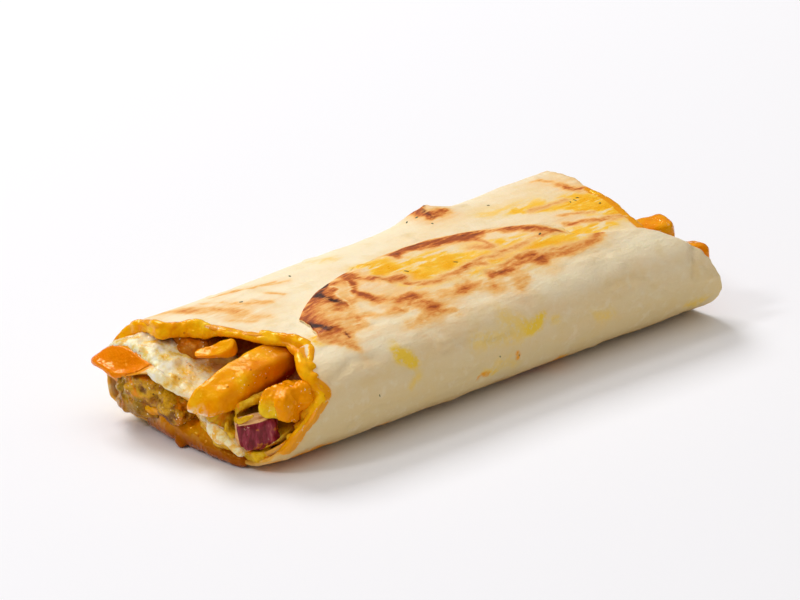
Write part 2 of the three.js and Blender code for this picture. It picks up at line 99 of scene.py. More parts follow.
REACH = 100.0
FRONT_SCALE = (1.08, 1.16, 1.18, 1.22, 1.27)
BACK_SCALE = (0.98, 1.0, 1.0, 1.0, 1.0)
HEIGHT_SCALE = (0.88, 0.91, 0.93, 0.99, 1.02)
END_LIFT_START = -78.0
END_LIFT_RUN = 22.0
END_LIFT = 1.6
CROWN_FLAT = 14.0
CROWN_RUN = 8.0
CROWN = 0.4
FAR_FRONT_DROP = 0.04
BLISTER_PLACE = (31.5, 29.0)
BLISTER_RADIUS = (9.0, 8.0)
BLISTER_HEIGHT = 5.0
SWELL = 0.6


# Small functions


def smooth(t):
    c = np.clip(t, 0.0, 1.0)
    return c * c * (3 - 2 * c)


def mix(a, b, t):
    return a + (b - a) * t


def hill(t):
    return np.exp(-t * t)


def curve_through(stops):
    """A smooth curve through (place, value) stops that never overshoots them."""
    places, values = np.array(stops, float).T
    runs = np.diff(places)
    rises = np.diff(values) / runs
    before, after = rises[:-1], rises[1:]
    same_way = before * after > 0
    slopes = np.zeros(len(places))
    slopes[1:-1][same_way] = 2 / (1 / before[same_way] + 1 / after[same_way])

    def curve(place):
        place = np.clip(place, places[0], places[-1])
        i = np.clip(np.searchsorted(places, place, side="right") - 1, 0, len(runs) - 1)
        t = (place - places[i]) / runs[i]
        lean = t * (1 - t) * ((1 - t) * slopes[i] - t * slopes[i + 1]) * runs[i]
        return values[i] + t * t * (3 - 2 * t) * rises[i] * runs[i] + lean

    return curve


def along_roll(values):
    """A smooth curve through values at equal stations from -REACH to REACH."""
    return curve_through(list(zip(np.linspace(-REACH, REACH, len(values)), values)))


def ripple(a, b, c):
    """Uneven but repeatable, between about -1 and 1."""
    first = np.sin(a + 1.7 * np.sin(b))
    return (first + np.sin(1.3 * b + 0.9 * np.sin(c)) + np.sin(1.1 * c + a)) / 3


# The roll's section


def section(degrees):
    """The middle of the sheet's outer layer, as y and z."""
    half = ROLL_WIDTH / 2 - SHEET / 2
    turn = np.mod(degrees, 360)
    cosine = np.cos(np.radians(turn))
    sine = np.sin(np.radians(turn))
    power = 2 / TOP_SQUARENESS
    top_y = np.sign(cosine) * np.abs(cosine) ** power * half
    top_z = ROLL_MIDDLE + np.abs(sine) ** power * (ROLL_HEIGHT - SHEET / 2 - ROLL_MIDDLE)
    side = np.where(turn < 270, -1, 1)
    from_side = np.minimum(turn - 180, 360 - turn)
    corner = np.radians(from_side * 1.5)
    corner_y = side * (half - CORNER_WIDTH * (1 - np.cos(corner)))
    corner_z = ROLL_MIDDLE - np.sin(corner) * (ROLL_MIDDLE - SHEET / 2)
    flat_y = side * (half - CORNER_WIDTH) * (90 - from_side) / 30
    flat = from_side > 60
    y = np.where(turn < 180, top_y, np.where(flat, flat_y, corner_y))
    z = np.where(turn < 180, top_z, np.where(flat, SHEET / 2, corner_z))
    return y, z


LOOP_STEP = 0.5
LOOP_Y, LOOP_Z = section(APEX_DEGREES + np.arange(0, 360 + LOOP_STEP, LOOP_STEP))
LOOP_AT = np.concatenate([[0], np.cumsum(np.hypot(np.diff(LOOP_Y), np.diff(LOOP_Z)))])
LAP = LOOP_AT[-1]


def distance_at(degrees):
    """Distance along the sheet at which it has turned to a number of degrees."""
    turned = degrees - APEX_DEGREES
    laps = math.floor(turned / 360)
    return laps * LAP + LOOP_AT[round((turned - laps * 360) / LOOP_STEP)]


def loop_point(distance):
    at = np.mod(distance, LAP)
    return np.interp(at, LOOP_AT, LOOP_Y), np.interp(at, LOOP_AT, LOOP_Z)


def across(path, distance):
    """Unit vector across a path, to the outer side of the roll."""
    y0, z0 = path(distance - LOOP_STEP)
    y1, z1 = path(distance + LOOP_STEP)
    length = np.hypot(y1 - y0, z1 - z0)
    return (z1 - z0) / length, -(y1 - y0) / length


TUCK_FROM, TUCK_TO = (distance_at(d) for d in TUCK_DEGREES)
WEB_FROM, WEB_TO = (distance_at(d) for d in WEB_DEGREES)
LEAVE = distance_at(LEAVE_DEGREES)


def wall_point(distance):
    y, z = loop_point(distance)
    out_y, out_z = across(loop_point, distance)
    tucked = smooth((distance - TUCK_FROM) / (TUCK_TO - TUCK_FROM))
    leaving = smooth((distance - WEB_FROM) / (WEB_TO - WEB_FROM))
    inset = (SHEET + GAP) * (tucked + leaving)
    return y - out_y * inset, z - out_z * inset


def web_curve():
    """The web's middle, as distances along the sheet with their y and z."""
    start = np.array(wall_point(LEAVE))
    ahead = np.array(wall_point(LEAVE + LOOP_STEP)) - start
    ahead /= np.linalg.norm(ahead)
    end = np.array(WEB_END)
    leaving = start + ahead * WEB_LEAVING
    arriving = end + np.array(WEB_ARRIVING)
    t = np.linspace(0, 1, 201)[:, None]
    line = start * (1 - t) ** 3 + 3 * leaving * t * (1 - t) ** 2
    line = line + 3 * arriving * t * t * (1 - t) + end * t**3
    at = np.concatenate([[0], np.cumsum(np.linalg.norm(np.diff(line, axis=0), axis=1))])
    return LEAVE + at, line[:, 0], line[:, 1]


WEB_AT, WEB_Y, WEB_Z = web_curve()
SHEET_LENGTH = WEB_AT[-1]


def sheet_path(distance):
    """The middle of the sheet at a distance from the flap's apex, as y and z."""
    wall_y, wall_z = wall_point(np.minimum(distance, LEAVE))
    on_web = distance >= LEAVE
    y = np.where(on_web, np.interp(distance, WEB_AT, WEB_Y), wall_y)
    z = np.where(on_web, np.interp(distance, WEB_AT, WEB_Z), wall_z)
    return y, z


def off_sheet(distance, outwards):
    """A point of the section that lies off the middle of the sheet, outwards or inwards."""
    y, z = sheet_path(distance)
    out_y, out_z = across(sheet_path, np.minimum(distance, SHEET_LENGTH - 2 * LOOP_STEP))
    return y + out_y * outwards, z + out_z * outwards


# The bend

front_scale = along_roll(FRONT_SCALE)
back_scale = along_roll(BACK_SCALE)
height_scale = along_roll(HEIGHT_SCALE)


def bend(x, y, z):
    """Moves points of the straight roll to their places in the real one."""
    level = z / ROLL_HEIGHT
    sway = SWELL * ripple(x / 17, level * 2, y / 60)
    wide = y * np.where(y < 0, front_scale(x), back_scale(x)) + sway * smooth(level * 2)
    far_front = smooth((x - 45) / 55) * smooth((15 - y) / 45)
    lift = END_LIFT * smooth((END_LIFT_START - x) / END_LIFT_RUN)
    lift = lift + CROWN * smooth((np.abs(y) - CROWN_FLAT) / CROWN_RUN)
    from_x = (x - BLISTER_PLACE[0]) / BLISTER_RADIUS[0]
    from_y = (y - BLISTER_PLACE[1]) / BLISTER_RADIUS[1]
    swell = SWELL * ripple(x / 13, y / 14, 2) + BLISTER_HEIGHT * hill(np.hypot(from_x, from_y))
    high = z * (height_scale(x) - FAR_FRONT_DROP * far_front) + swell * level * level
    return np.stack(np.broadcast_arrays(x, wide, high + lift * (1 - level)), -1)


# The sheet

near_rim_curve = curve_through(NEAR_RIM)
far_rim_curve = curve_through(FAR_RIM)


def near_rim(distance):
    return near_rim_curve(distance) + RIM_RIPPLE * ripple(distance / 3.1, distance / 7, 1)


def far_rim(distance):
    return far_rim_curve(distance) + RIM_RIPPLE * ripple(distance / 3.1, distance / 7, 1)


def arc_shift(x):
    """How far the flap's edge lies back from its apex at x."""
    off = np.minimum(np.abs(x - ARC_MIDDLE), ARC_RADIUS * 0.7)
    return ARC_RADIUS - np.sqrt(ARC_RADIUS * ARC_RADIUS - off * off)


def lip_share(distance, x):
    """How much the web's lip hangs out and down at a place on the sheet, from 0 to 1."""
    over = smooth((distance - LIP_FROM) / LIP_FADE) * smooth((LIP_TO - distance) / LIP_FADE)
    return over * smooth((LIP_START - x) / LIP_RUN)


def on_sheet(distance, x, outwards):
    """Places at a distance along the sheet and an x, outwards or inwards of its middle."""
    shift = arc_shift(x) * (1 - smooth(distance / ARC_FADE))
    y, z = off_sheet(distance + shift, outwards)
    lip = lip_share(distance, x)
    return bend(x, y + LIP_FLARE * lip, z - LIP_DROP * lip)


# Noise and masks

NOISE_CELLS = 24


def noise(points, size, seed):
    """Smooth repeatable noise from -1 to 1 over points, with hills about size wide."""
    table = np.random.default_rng(seed).uniform(-1, 1, (NOISE_CELLS,) * 3)
    scaled = np.asarray(points) / size
    low = np.floor(scaled).astype(int)
    part = smooth(scaled - low)
    total = 0.0
    for corner in np.ndindex(2, 2, 2):
        weight = 1.0
        for axis, step in enumerate(corner):
            weight = weight * (part[..., axis] if step else 1 - part[..., axis])
        cell = tuple((low[..., axis] + step) % NOISE_CELLS for axis, step in enumerate(corner))
        total = total + weight * table[cell]
    return total


def rough(points, size, octaves, seed):
    """Noise with finer noise on it, each octave half as wide and half as high."""
    total = 0.0
    for octave in range(octaves):
        total = total + noise(points, size / 2**octave, seed + 7 * octave) / 2**octave
    return total


def on_axis(values):
    """Points along the X axis, at which noise runs evenly along a rim."""
    return np.stack([values, values * 0, values * 0], -1)


def from_line(places, line):
    """Distance of places to a line through a few points, all in the same two axes."""
    best = np.full(places.shape[:-1], np.inf)
    corners = np.array(line, float)
    for start, end in zip(corners[:-1], corners[1:]):
        run = end - start
        share = ((places - start) @ run) / max(run @ run, 1e-9)
        near = start + np.clip(share, 0, 1)[..., None] * run
        best = np.minimum(best, np.linalg.norm(places - near, axis=-1))
    return best


def strokes(places, marks, widening=1.0):
    """Marks painted on the sheet, each given as (strength, width, line).

    widening is how much wider they are across the roll than along it. Where they lie over one
    another they darken only a little.
    """
    squeeze = np.array([1.0, 1 / widening])
    bare = np.ones(places.shape[:-1])
    for strength, width, line in marks:
        off = from_line(places * squeeze, np.array(line) * squeeze) / width
        bare = bare * (1 - np.minimum(strength, 0.95) * hill(off))
    return 1 - bare


# Meshes


def grid_faces(rows, columns, round_columns=False):
    """Quads of a grid of rows by columns points, whose rows may close on themselves."""
    row = np.arange(rows - 1)[:, None]
    column = np.arange(columns if round_columns else columns - 1)[None, :]
    after_column = (column + 1) % columns
    corners = (
        row * columns + column,
        (row + 1) * columns + column,
        (row + 1) * columns + after_column,
        row * columns + after_column,
    )
    return np.stack(np.broadcast_arrays(*corners), -1).reshape(-1, 4)


def slab(upper, lower):
    """Closed shell between two grids of points of the same shape."""
    rows, columns = upper.shape[:2]
    points = np.concatenate([upper.reshape(-1, 3), lower.reshape(-1, 3)])
    top = grid_faces(rows, columns)
    count = rows * columns
    edge = np.concatenate([
        np.arange(columns),
        np.arange(1, rows) * columns + columns - 1,
        (rows - 1) * columns + np.arange(columns - 2, -1, -1),
        np.arange(rows - 2, 0, -1) * columns,
    ])
    after = np.roll(edge, -1)
    sides = np.stack([edge, after, after + count, edge + count], -1)
    return points, np.concatenate([top, top[:, ::-1] + count, sides])


def joined(parts):
    """One (points, faces) of several, all with quads or all with triangles."""
    points, faces, count = [], [], 0
    for part_points, part_faces in parts:
        points.append(part_points)
        faces.append(part_faces + count)
        count += len(part_points)
    return np.concatenate(points), np.concatenate(faces)


def vertex_normals(points, faces):
    corners = points[faces]
    normal = np.cross(corners[:, 2] - corners[:, 0], corners[:, -1] - corners[:, 1])
    total = np.zeros_like(points)
    for corner in range(faces.shape[1]):
        np.add.at(total, faces[:, corner], normal)
    return total / np.maximum(np.linalg.norm(total, axis=1, keepdims=True), 1e-9)


def raised(mesh, height):
    """A mesh with its points moved out along their normals by height, a number or array."""
    points, faces = mesh
    return points + vertex_normals(points, faces) * np.reshape(height, (-1, 1)), faces


def closed_rings(rings, tips):
    """A closed skin of triangles through rings of points, drawn together at a tip at each end."""
    rows, count = rings.shape[:2]
    points = np.concatenate([rings.reshape(-1, 3), tips])
    near_tip, far_tip = rows * count, rows * count + 1
    here = np.arange(count)
    after = (here + 1) % count
    last = (rows - 1) * count
    near_cap = np.stack([np.full(count, near_tip), here, after], -1)
    far_cap = np.stack([np.full(count, far_tip), last + after, last + here], -1)
    sides = as_triangles(grid_faces(rows, count, round_columns=True))
    return points, np.concatenate([sides, near_cap, far_cap])


def in_axes(points, centre, axes):
    """Points given along three axes, moved to a centre."""
    return points @ np.array(axes) + np.array(centre)


def turned_axes(turn):
    """The three axes turned by degrees about X, Y and Z."""
    return np.array(Euler([math.radians(a) for a in turn]).to_matrix()).T


BALLS = {}


def ball(detail):
    """Points and faces of a ball of radius 1."""
    if detail not in BALLS:
        made = bmesh.new()
        bmesh.ops.create_icosphere(made, subdivisions=detail, radius=1)
        points = np.array([v.co for v in made.verts])
        faces = np.array([[v.index for v in f.verts] for f in made.faces])
        made.free()
        BALLS[detail] = points, faces
    return BALLS[detail]


def chunk(centre, size, turn=(0, 0, 0), squareness=3.0, uneven=0.08, seed=0, detail=4):
    """An irregular block with rounded edges, such as a piece of chicken."""
    points, faces = ball(detail)
    edge = (np.abs(points) ** squareness).sum(1) ** (1 / squareness)
    wobble = 1 + uneven * ripple(points[:, 0] * 4 + seed, points[:, 1] * 4 + seed, points[:, 2] * 4)
    points = points * (wobble / edge)[:, None] * (np.array(size) / 2)
    return in_axes(points, centre, turned_axes(turn)), faces


def bar_axes(start, end, roll):
    """Axes along a bar, across it and up, turned by roll degrees about the first."""
    along = (Vector(end) - Vector(start)).normalized()
    side = Vector((0, 0, 1)).cross(along).normalized()
    turned = Matrix.Rotation(math.radians(roll), 3, along)
    return [along, turned @ side, turned @ along.cross(side)]


def smooth_line(corners, count):
    """Even points on a smooth curve through a few points."""
    corners = np.array(corners, float)
    before = 2 * corners[:1] - corners[1:2]
    after = 2 * corners[-1:] - corners[-2:-1]
    padded = np.concatenate([before, corners, after])
    at = np.linspace(0, len(corners) - 1, count)
    i = np.minimum(at.astype(int), len(corners) - 2)
    t = (at - i)[:, None]
    a, b, c, d = padded[i], padded[i + 1], padded[i + 2], padded[i + 3]
    return b + 0.5 * t * (c - a + t * (2 * a - 5 * b + 4 * c - d + t * (3 * (b - c) + d - a)))


SHRED_STEPS = 40
SHRED_SIDES = 12


def shred(corners, width, thickness=1.2):
    """A shred of cabbage: an upright strip along a curve, thinner at its ends."""
    line = smooth_line(corners, SHRED_STEPS)
    along = np.gradient(line, axis=0)
    along /= np.linalg.norm(along, axis=1, keepdims=True)
    side = np.cross((0.0, 0.0, 1.0), along) + 1e-6
    side /= np.linalg.norm(side, axis=1, keepdims=True)
    lift = np.cross(along, side)
    share = np.linspace(-1, 1, SHRED_STEPS)
    slim = np.sqrt(np.maximum(1 - np.abs(share) ** 6, 0.01))[:, None, None]
    angle = np.linspace(0, 2 * np.pi, SHRED_SIDES, endpoint=False)[None, :, None]
    sideways = side[:, None] * np.cos(angle) * thickness / 2
    upwards = lift[:, None] * np.sin(angle) * width / 2
    points = (line[:, None] + (sideways + upwards) * slim).reshape(-1, 3)
    return points, grid_faces(SHRED_STEPS, SHRED_SIDES, round_columns=True)


def object_arrays(made):
    """Points and triangles of an object after its modifiers."""
    shown = made.evaluated_get(bpy.context.evaluated_depsgraph_get())
    mesh = shown.to_mesh()
    mesh.calc_loop_triangles()
    points = np.zeros(len(mesh.vertices) * 3)
    mesh.vertices.foreach_get("co", points)
    faces = np.zeros(len(mesh.loop_triangles) * 3, int)
    mesh.loop_triangles.foreach_get("vertices", faces)
    shown.to_mesh_clear()
    return points.reshape(-1, 3), faces.reshape(-1, 3)


def as_triangles(faces):
    if faces.shape[1] == 3:
        return faces
    return np.concatenate([faces[:, [0, 1, 2]], faces[:, [0, 2, 3]]])


def melted(parts, voxel, softness):
    """Parts run together into one closed skin with soft joins."""
    points, faces = joined([(p, as_triangles(f)) for p, f in parts])
    mesh = bpy.data.meshes.new("melting")
    mesh.from_pydata(points, [], faces)
    made = bpy.data.objects.new("melting", mesh)
    bpy.context.scene.collection.objects.link(made)
    remesh = made.modifiers.new("remesh", "REMESH")
    remesh.mode = "VOXEL"
    remesh.voxel_size = voxel
    soften = made.modifiers.new("soften", "SMOOTH")
    soften.factor = 0.5
    soften.iterations = softness
    result = object_arrays(made)
    bpy.data.objects.remove(made)
    bpy.data.meshes.remove(mesh)
    return result


def add_piece(name, mesh, material, slot, replaces=(), **attributes):
    """Adds a piece to the scene from points in millimetres in the roll's own frame."""
    points, faces = mesh
    data = bpy.data.meshes.new(name)
    data.from_pydata((points + np.array(ORIGIN)) * MM, [], faces)
    for key, values in attributes.items():
        data.attributes.new(key, "FLOAT", "POINT").data.foreach_set("value", values.ravel())
    data.shade_smooth()
    data.materials.append(material)
    piece = bpy.data.objects.new(name, data)
    bpy.context.scene.collection.objects.link(piece)
    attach(piece, "root")
    if replaces:
        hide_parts(*replaces)
    return piece


# Materials


def srgb(red, green, blue):
    """A colour as seen in a picture, 0 to 255, as the linear one that shaders take."""
    shares = [value / 255 for value in (red, green, blue)]
    linear = [s / 12.92 if s <= 0.04045 else ((s + 0.055) / 1.055) ** 2.4 for s in shares]
    return (*linear, 1.0)


SPECK_RADIUS = 0.17  # as a share of the way from one speck to the next


class Nodes:
    """A tree of shader nodes, built up step by step."""

    def __init__(self, tree):
        self.tree = tree

    def add(self, kind, values=None, **settings):
        """Adds a node. values sets or links its inputs, by name or number."""
        node = self.tree.nodes.new("ShaderNode" + kind)
        for key, value in settings.items():
            setattr(node, key, value)
        for key, value in (values or {}).items():
            if isinstance(value, bpy.types.NodeSocket):
                self.tree.links.new(value, node.inputs[key])
            else:
                node.inputs[key].default_value = value
        return node

    def maths(self, operation, a, b=0.0):
        return self.add("Math", {0: a, 1: b}, operation=operation).outputs[0]

    def times(self, a, b):
        return self.maths("MULTIPLY", a, b)

    def plus(self, a, b):
        return self.maths("ADD", a, b)


class Surface(Nodes):
    """A node material with a principled shader."""

    def __init__(self, name, **values):
        self.material = bpy.data.materials.new(name)
        self.material.use_nodes = True
        super().__init__(self.material.node_tree)
        self.tree.nodes.clear()
        self.shader = self.add("BsdfPrincipled", {k.replace("_", " "): v for k, v in values.items()})
        self.add("OutputMaterial", {"Surface": self.shader.outputs[0]})
        self.place = self.add("TexCoord").outputs["Object"]

    def set(self, **values):
        for key, value in values.items():
            self.tree.links.new(value, self.shader.inputs[key.replace("_", " ")])

    def attribute(self, name):
        return self.add("Attribute", attribute_name=name).outputs["Fac"]

    def stretched(self, scale):
        """The place on the object, scaled along each axis, for drawn-out noise."""
        return self.add("Mapping", {"Vector": self.place, "Scale": scale}).outputs[0]

    def noise(self, size, detail, roughness=0.55, vector=None, distortion=0.0):
        """Noise from 0 to 1 with hills about size millimetres wide."""
        values = {
            "Vector": self.place if vector is None else vector, "Scale": 1 / (size * MM),
            "Detail": detail, "Roughness": roughness, "Distortion": distortion,
        }
        return self.add("TexNoise", values).outputs[0]

    def between(self, value, low, high):
        """0 at low and 1 at high, smooth between them."""
        ranges = {"Value": value, "From Min": low, "From Max": high}
        return self.add("MapRange", ranges, interpolation_type="SMOOTHSTEP").outputs[0]

    def heights(self, low, high):
        """0 at one height above the floor and 1 at another, in millimetres."""
        height = self.add("SeparateXYZ", {0: self.place}).outputs[2]
        return self.between(height, low * MM, high * MM)

    def patches(self, size, low, high, detail=4, roughness=0.6, **more):
        """Soft patches about size millimetres wide, fewer of them the higher low and high are."""
        return self.between(self.noise(size, detail, roughness, **more), low, high)

    def specks(self, size, share):
        """1 on small spots, about size millimetres apart, that take up a share of the cells."""
        cells = self.add("TexVoronoi", {"Vector": self.place, "Scale": 1 / (size * MM)})
        near = self.maths("LESS_THAN", cells.outputs["Distance"], SPECK_RADIUS)
        draw = self.add("SeparateColor", {0: cells.outputs["Color"]}).outputs[0]
        return self.times(near, self.maths("LESS_THAN", draw, share))

    def ramp(self, share, stops):
        """Colours, as seen in a picture, at stops of a share from 0 to 1."""
        node = self.add("ValToRGB", {"Fac": share})
        ramp = node.color_ramp
        while len(ramp.elements) < len(stops):
            ramp.elements.new(0.5)
        for element, (position, colour) in zip(ramp.elements, stops):
            element.position = position
            element.color = srgb(*colour)
        return node.outputs["Color"]

    def blend(self, share, under, over):
        return self.add("Mix", {0: share, 6: under, 7: over}, data_type="RGBA").outputs[2]

    def stained(self, colour, share, stain, strength=1.0):
        """A colour under a stain, which shows where share is 1, as much as strength says."""
        return self.blend(self.times(share, strength), colour, srgb(*stain))

    def bump(self, height, depth, normal=None):
        """Normal from a height of 0 to 1 that stands for depth millimetres."""
        values = {"Height": height, "Distance": depth * MM, "Strength": 1.0}
        if normal is not None:
            values["Normal"] = normal
        return self.add("Bump", values).outputs[0]


# The bread's stretches, as distances along the sheet

FLAP_TO = 95.0  # the flap and the shown wall, down to the floor
BACK_FROM = 140.0  # the hidden wall and the top under the flap, as far as they show
BACK_TO = 235.0
INSIDE_FROM = 240.0  # past here the sheet lies inside the roll
FINE_TO = 245.0  # rows lie close together up to here
WEB_FINE_FROM = LIP_FROM - 7  # and again past here

# The bread's faces

WALL_FACE = -24.0  # the shown wall has a y below this
TOP_FACE = 20.0  # the top has a z above this
UNDERSIDE = 2.2  # the underside has a z below this

# The bread's mesh

FINE_STEP = 0.8
COARSE_STEP = 2.2
COLUMNS = 170
BREAD_RIM = 0.7  # how far the rounding of a rim reaches in
RAGGEDNESS = 0.35  # of the rims
ROUNDING = np.radians([60, 30, 0, -30, -60])  # from the outer side to the inner one
EDGE_TAPER = 5.0  # the flap's edge is pressed thin over this distance
EDGE_THIN, EDGE_THICK = 0.28, 0.9  # shares of the sheet's thickness there and past there
WEB_TAPER = 1.2  # the web's end is thinned over this distance

# How far the flap is pressed onto the layer below it: its edge, and its two corners as
# (distance along the sheet, fade, reach along X, depth)

EDGE_SINK = 0.95
NEAR_CORNER = (18, 8, 7, 0.8)
FAR_CORNER = (24, 10, 8, 1.3)


def bread_rows():
    """Distances of the sheet's rows, close together where the sheet shows."""
    edge = [0.0, 0.25, 0.6, 1.1, 1.7]
    shown = np.arange(2.4, FINE_TO, FINE_STEP)
    inner = np.arange(FINE_TO, WEB_FINE_FROM, COARSE_STEP)
    web = np.arange(WEB_FINE_FROM, SHEET_LENGTH - 0.5, FINE_STEP)
    return np.concatenate([edge, shown, inner, web, [SHEET_LENGTH - 0.4, SHEET_LENGTH]])


def bread_columns():
    """Shares of the way from rim to rim, close together at the rims."""
    even = np.linspace(0, 1, COLUMNS)
    return even - 0.05 * np.sin(2 * np.pi * even)


def half_thickness(distance):
    """Half the bread's thickness at a distance along the sheet."""
    from_start = np.clip(distance / EDGE_TAPER, 0, 1)
    from_end = np.clip((SHEET_LENGTH - distance) / WEB_TAPER, 0, 1)
    pressed = mix(EDGE_THIN, EDGE_THICK, from_start**0.6)
    return SHEET / 2 * pressed * mix(0.25, 1, np.sqrt(1 - (1 - from_end) ** 2))


def corner_sink(at, from_rim, corner):
    """How far a corner of the flap is pressed down."""
    until, fade, reach, depth = corner
    return depth * (1 - smooth((at - until) / fade)) * (1 - smooth(from_rim / reach))


FOLDS = (  # soft folds in the shown wall, as (depth, width, line of x and z)
    (0.6, 0.8, ((-26, 22), (-16, 23.5), (-6, 21), (2, 21.5))),
    (0.5, 0.7, ((-26, 12), (-18, 11.5), (-12, 14))),
    (0.7, 1.1, ((84, 30), (80, 24), (79, 19))),
    (0.5, 0.9, ((-68, 24), (-58, 27), (-50, 26))),
    (0.4, 0.8, ((40, 24), (52, 25), (60, 23))),
    (0.5, 1.0, ((-62, 10), (-54, 14), (-44, 13))),
)


def bread_relief(places, outer):
    """How far the bread's surface stands out or in, in millimetres."""
    soft = 0.26 * rough(places * (0.55, 1, 1), 9, 3, seed=3)
    on_wall = places[..., 1] < WALL_FACE
    for depth, width, line in FOLDS:
        soft = soft - depth * hill(from_line(places[..., [0, 2]], line) / width) * on_wall
    pores = 0.07 * rough(places, 1.6, 2, seed=9)
    creases = -0.22 * hill(rough(places * (0.35, 1, 1), 13, 2, seed=21) / 0.07)
    bubbles = 1.1 * np.maximum(rough(places, 5.5, 2, seed=33) - 0.62, 0)
    return np.where(outer, soft + creases + bubbles, 0.6 * soft) + pores


def bread_mesh():
    """The rolled sheet as one closed skin, with its sheet coordinates at every point."""
    distance = bread_rows()[:, None]
    near = near_rim(distance) + RAGGEDNESS * noise(on_axis(distance), 1.7, 5) + BREAD_RIM
    far = far_rim(distance) + RAGGEDNESS * noise(on_axis(distance), 1.7, 6) - BREAD_RIM
    flat = near + (far - near) * bread_columns()
    far_arc = far + BREAD_RIM * np.cos(ROUNDING)
    near_arc = near - BREAD_RIM * np.cos(ROUNDING[::-1])
    x = np.concatenate([flat, far_arc, flat[:, ::-1], near_arc], 1)
    outside, round_far = np.ones(COLUMNS), np.sin(ROUNDING)
    ring = np.concatenate([outside, round_far, -outside, round_far[::-1]])
    at, level = np.broadcast_arrays(distance, ring)
    outer = level > 0

    near_corner = corner_sink(at, x - near_rim(at), NEAR_CORNER)
    far_corner = corner_sink(at, far_rim(at) - x, FAR_CORNER)
    edge = EDGE_SINK * (1 - smooth(at / EDGE_TAPER))
    sunk = np.maximum(edge, near_corner + far_corner)
    middle = on_sheet(at, x, 0)
    hidden = smooth((at - BACK_TO) / 8) * smooth((LIP_FROM - 12 - at) / 8)
    relief = bread_relief(middle, outer) * (1 - 0.8 * hidden)
    relief = relief * np.where(middle[..., 2] < UNDERSIDE, 0.15, 1)
    points = on_sheet(at, x, half_thickness(distance) * level - sunk + relief * np.sign(level))
    mesh = points.reshape(-1, 3), closed_ends(*x.shape)
    return mesh, at, x, outer


def closed_ends(rows, count):
    """Quads of a skin of rings of an even number of points, closed at its two ends."""
    caps = []
    for ring, flip in ((0, False), ((rows - 1) * count, True)):
        for i in range(count // 2 - 1):
            quad = [ring + i, ring + i + 1, ring + count - 2 - i, ring + count - 1 - i]
            caps.append(quad[::-1] if flip else quad)
    return np.concatenate([grid_faces(rows, count, round_columns=True), np.array(caps)])


# Marks on the bread, as (strength, width, line). On top a line's points are (x, y), and on the
# shown side wall (x, z).

FLAP_TOAST = (
    (0.80, 2.5, ((-5, 3), (1, 3.6), (6, 3), (11, 2))),
    (0.88, 3.0, ((11, 2.2), (16, 1.4), (21, -0.4), (26, -2.8))),
    (0.72, 2.0, ((-5, 3), (2, 3), (10, 2), (17, -1), (22, -5))),
    (0.55, 1.5, ((22, -5), (23, -8), (22, -11))),
    (0.82, 2.2, ((29, -6), (35, -9), (40, -13), (45, -18))),
    (0.55, 1.7, ((15, -8), (18, -11), (20, -13))),
    (0.60, 1.7, ((54, -7), (60, -11), (66, -15), (69, -19))),
    (0.50, 1.2, ((10, -17), (19, -18), (28, -18), (37, -18), (42, -19))),
    (0.60, 1.4, ((-16, -16), (-10, -19), (-1, -19), (7, -18), (12, -20))),
    (0.70, 2.0, ((9, -25), (14, -26), (23, -24), (28, -27))),
    (0.55, 1.8, ((28, -27), (35, -28), (43, -29), (48, -29), (54, -27))),
    (0.35, 1.1, ((21, -24), (28, -23), (34, -25))),
    (0.55, 1.8, ((-6, -26), (1, -26), (6, -28))),
    (0.50, 1.3, ((12, -33), (18, -31))),
    (0.28, 1.6, ((2, -32), (9, -31), (10, -33))),
    (0.70, 2.0, ((-25, -3), (-22, -6), (-19, -10), (-15, -11))),
    (0.85, 2.3, ((-26, 3), (-30, -4), (-32, -9), (-33, -15))),
    (0.60, 2.0, ((-33, -15), (-31, -18), (-27, -21), (-21, -23))),
    (0.42, 2.0, ((-21, -23), (-14, -23), (-7, -23), (0, -22))),
    (0.52, 2.0, ((-31, -26), (-25, -26), (-19, -28))),
    (0.36, 1.8, ((-19, -28), (-12, -27), (-5, -27))),
    (0.50, 1.7, ((-43, -23), (-37, -24), (-32, -26))),
    (0.40, 2.1, ((-34, -31), (-28, -32), (-18, -31), (-15, -33))),
    (0.62, 2.4, ((-52, -6), (-48, -5), (-40, -2), (-33, 1))),
    (0.58, 2.2, ((-56, -13), (-49, -9), (-43, -7), (-38, -6))),
    (0.34, 3.0, ((-52, -11), (-49, -13), (-43, -15), (-39, -15))),
    (0.38, 2.6, ((-57, -11), (-56, -17), (-50, -20), (-45, -22))),
    (0.45, 2.2, ((-60, -18), (-60, -25), (-56, -29), (-54, -32))),
    (0.32, 2.0, ((-56, -22), (-52, -26), (-45, -26))),
    (0.75, 2.0, ((-25, 9), (-26, 5), (-24, 2))),
)
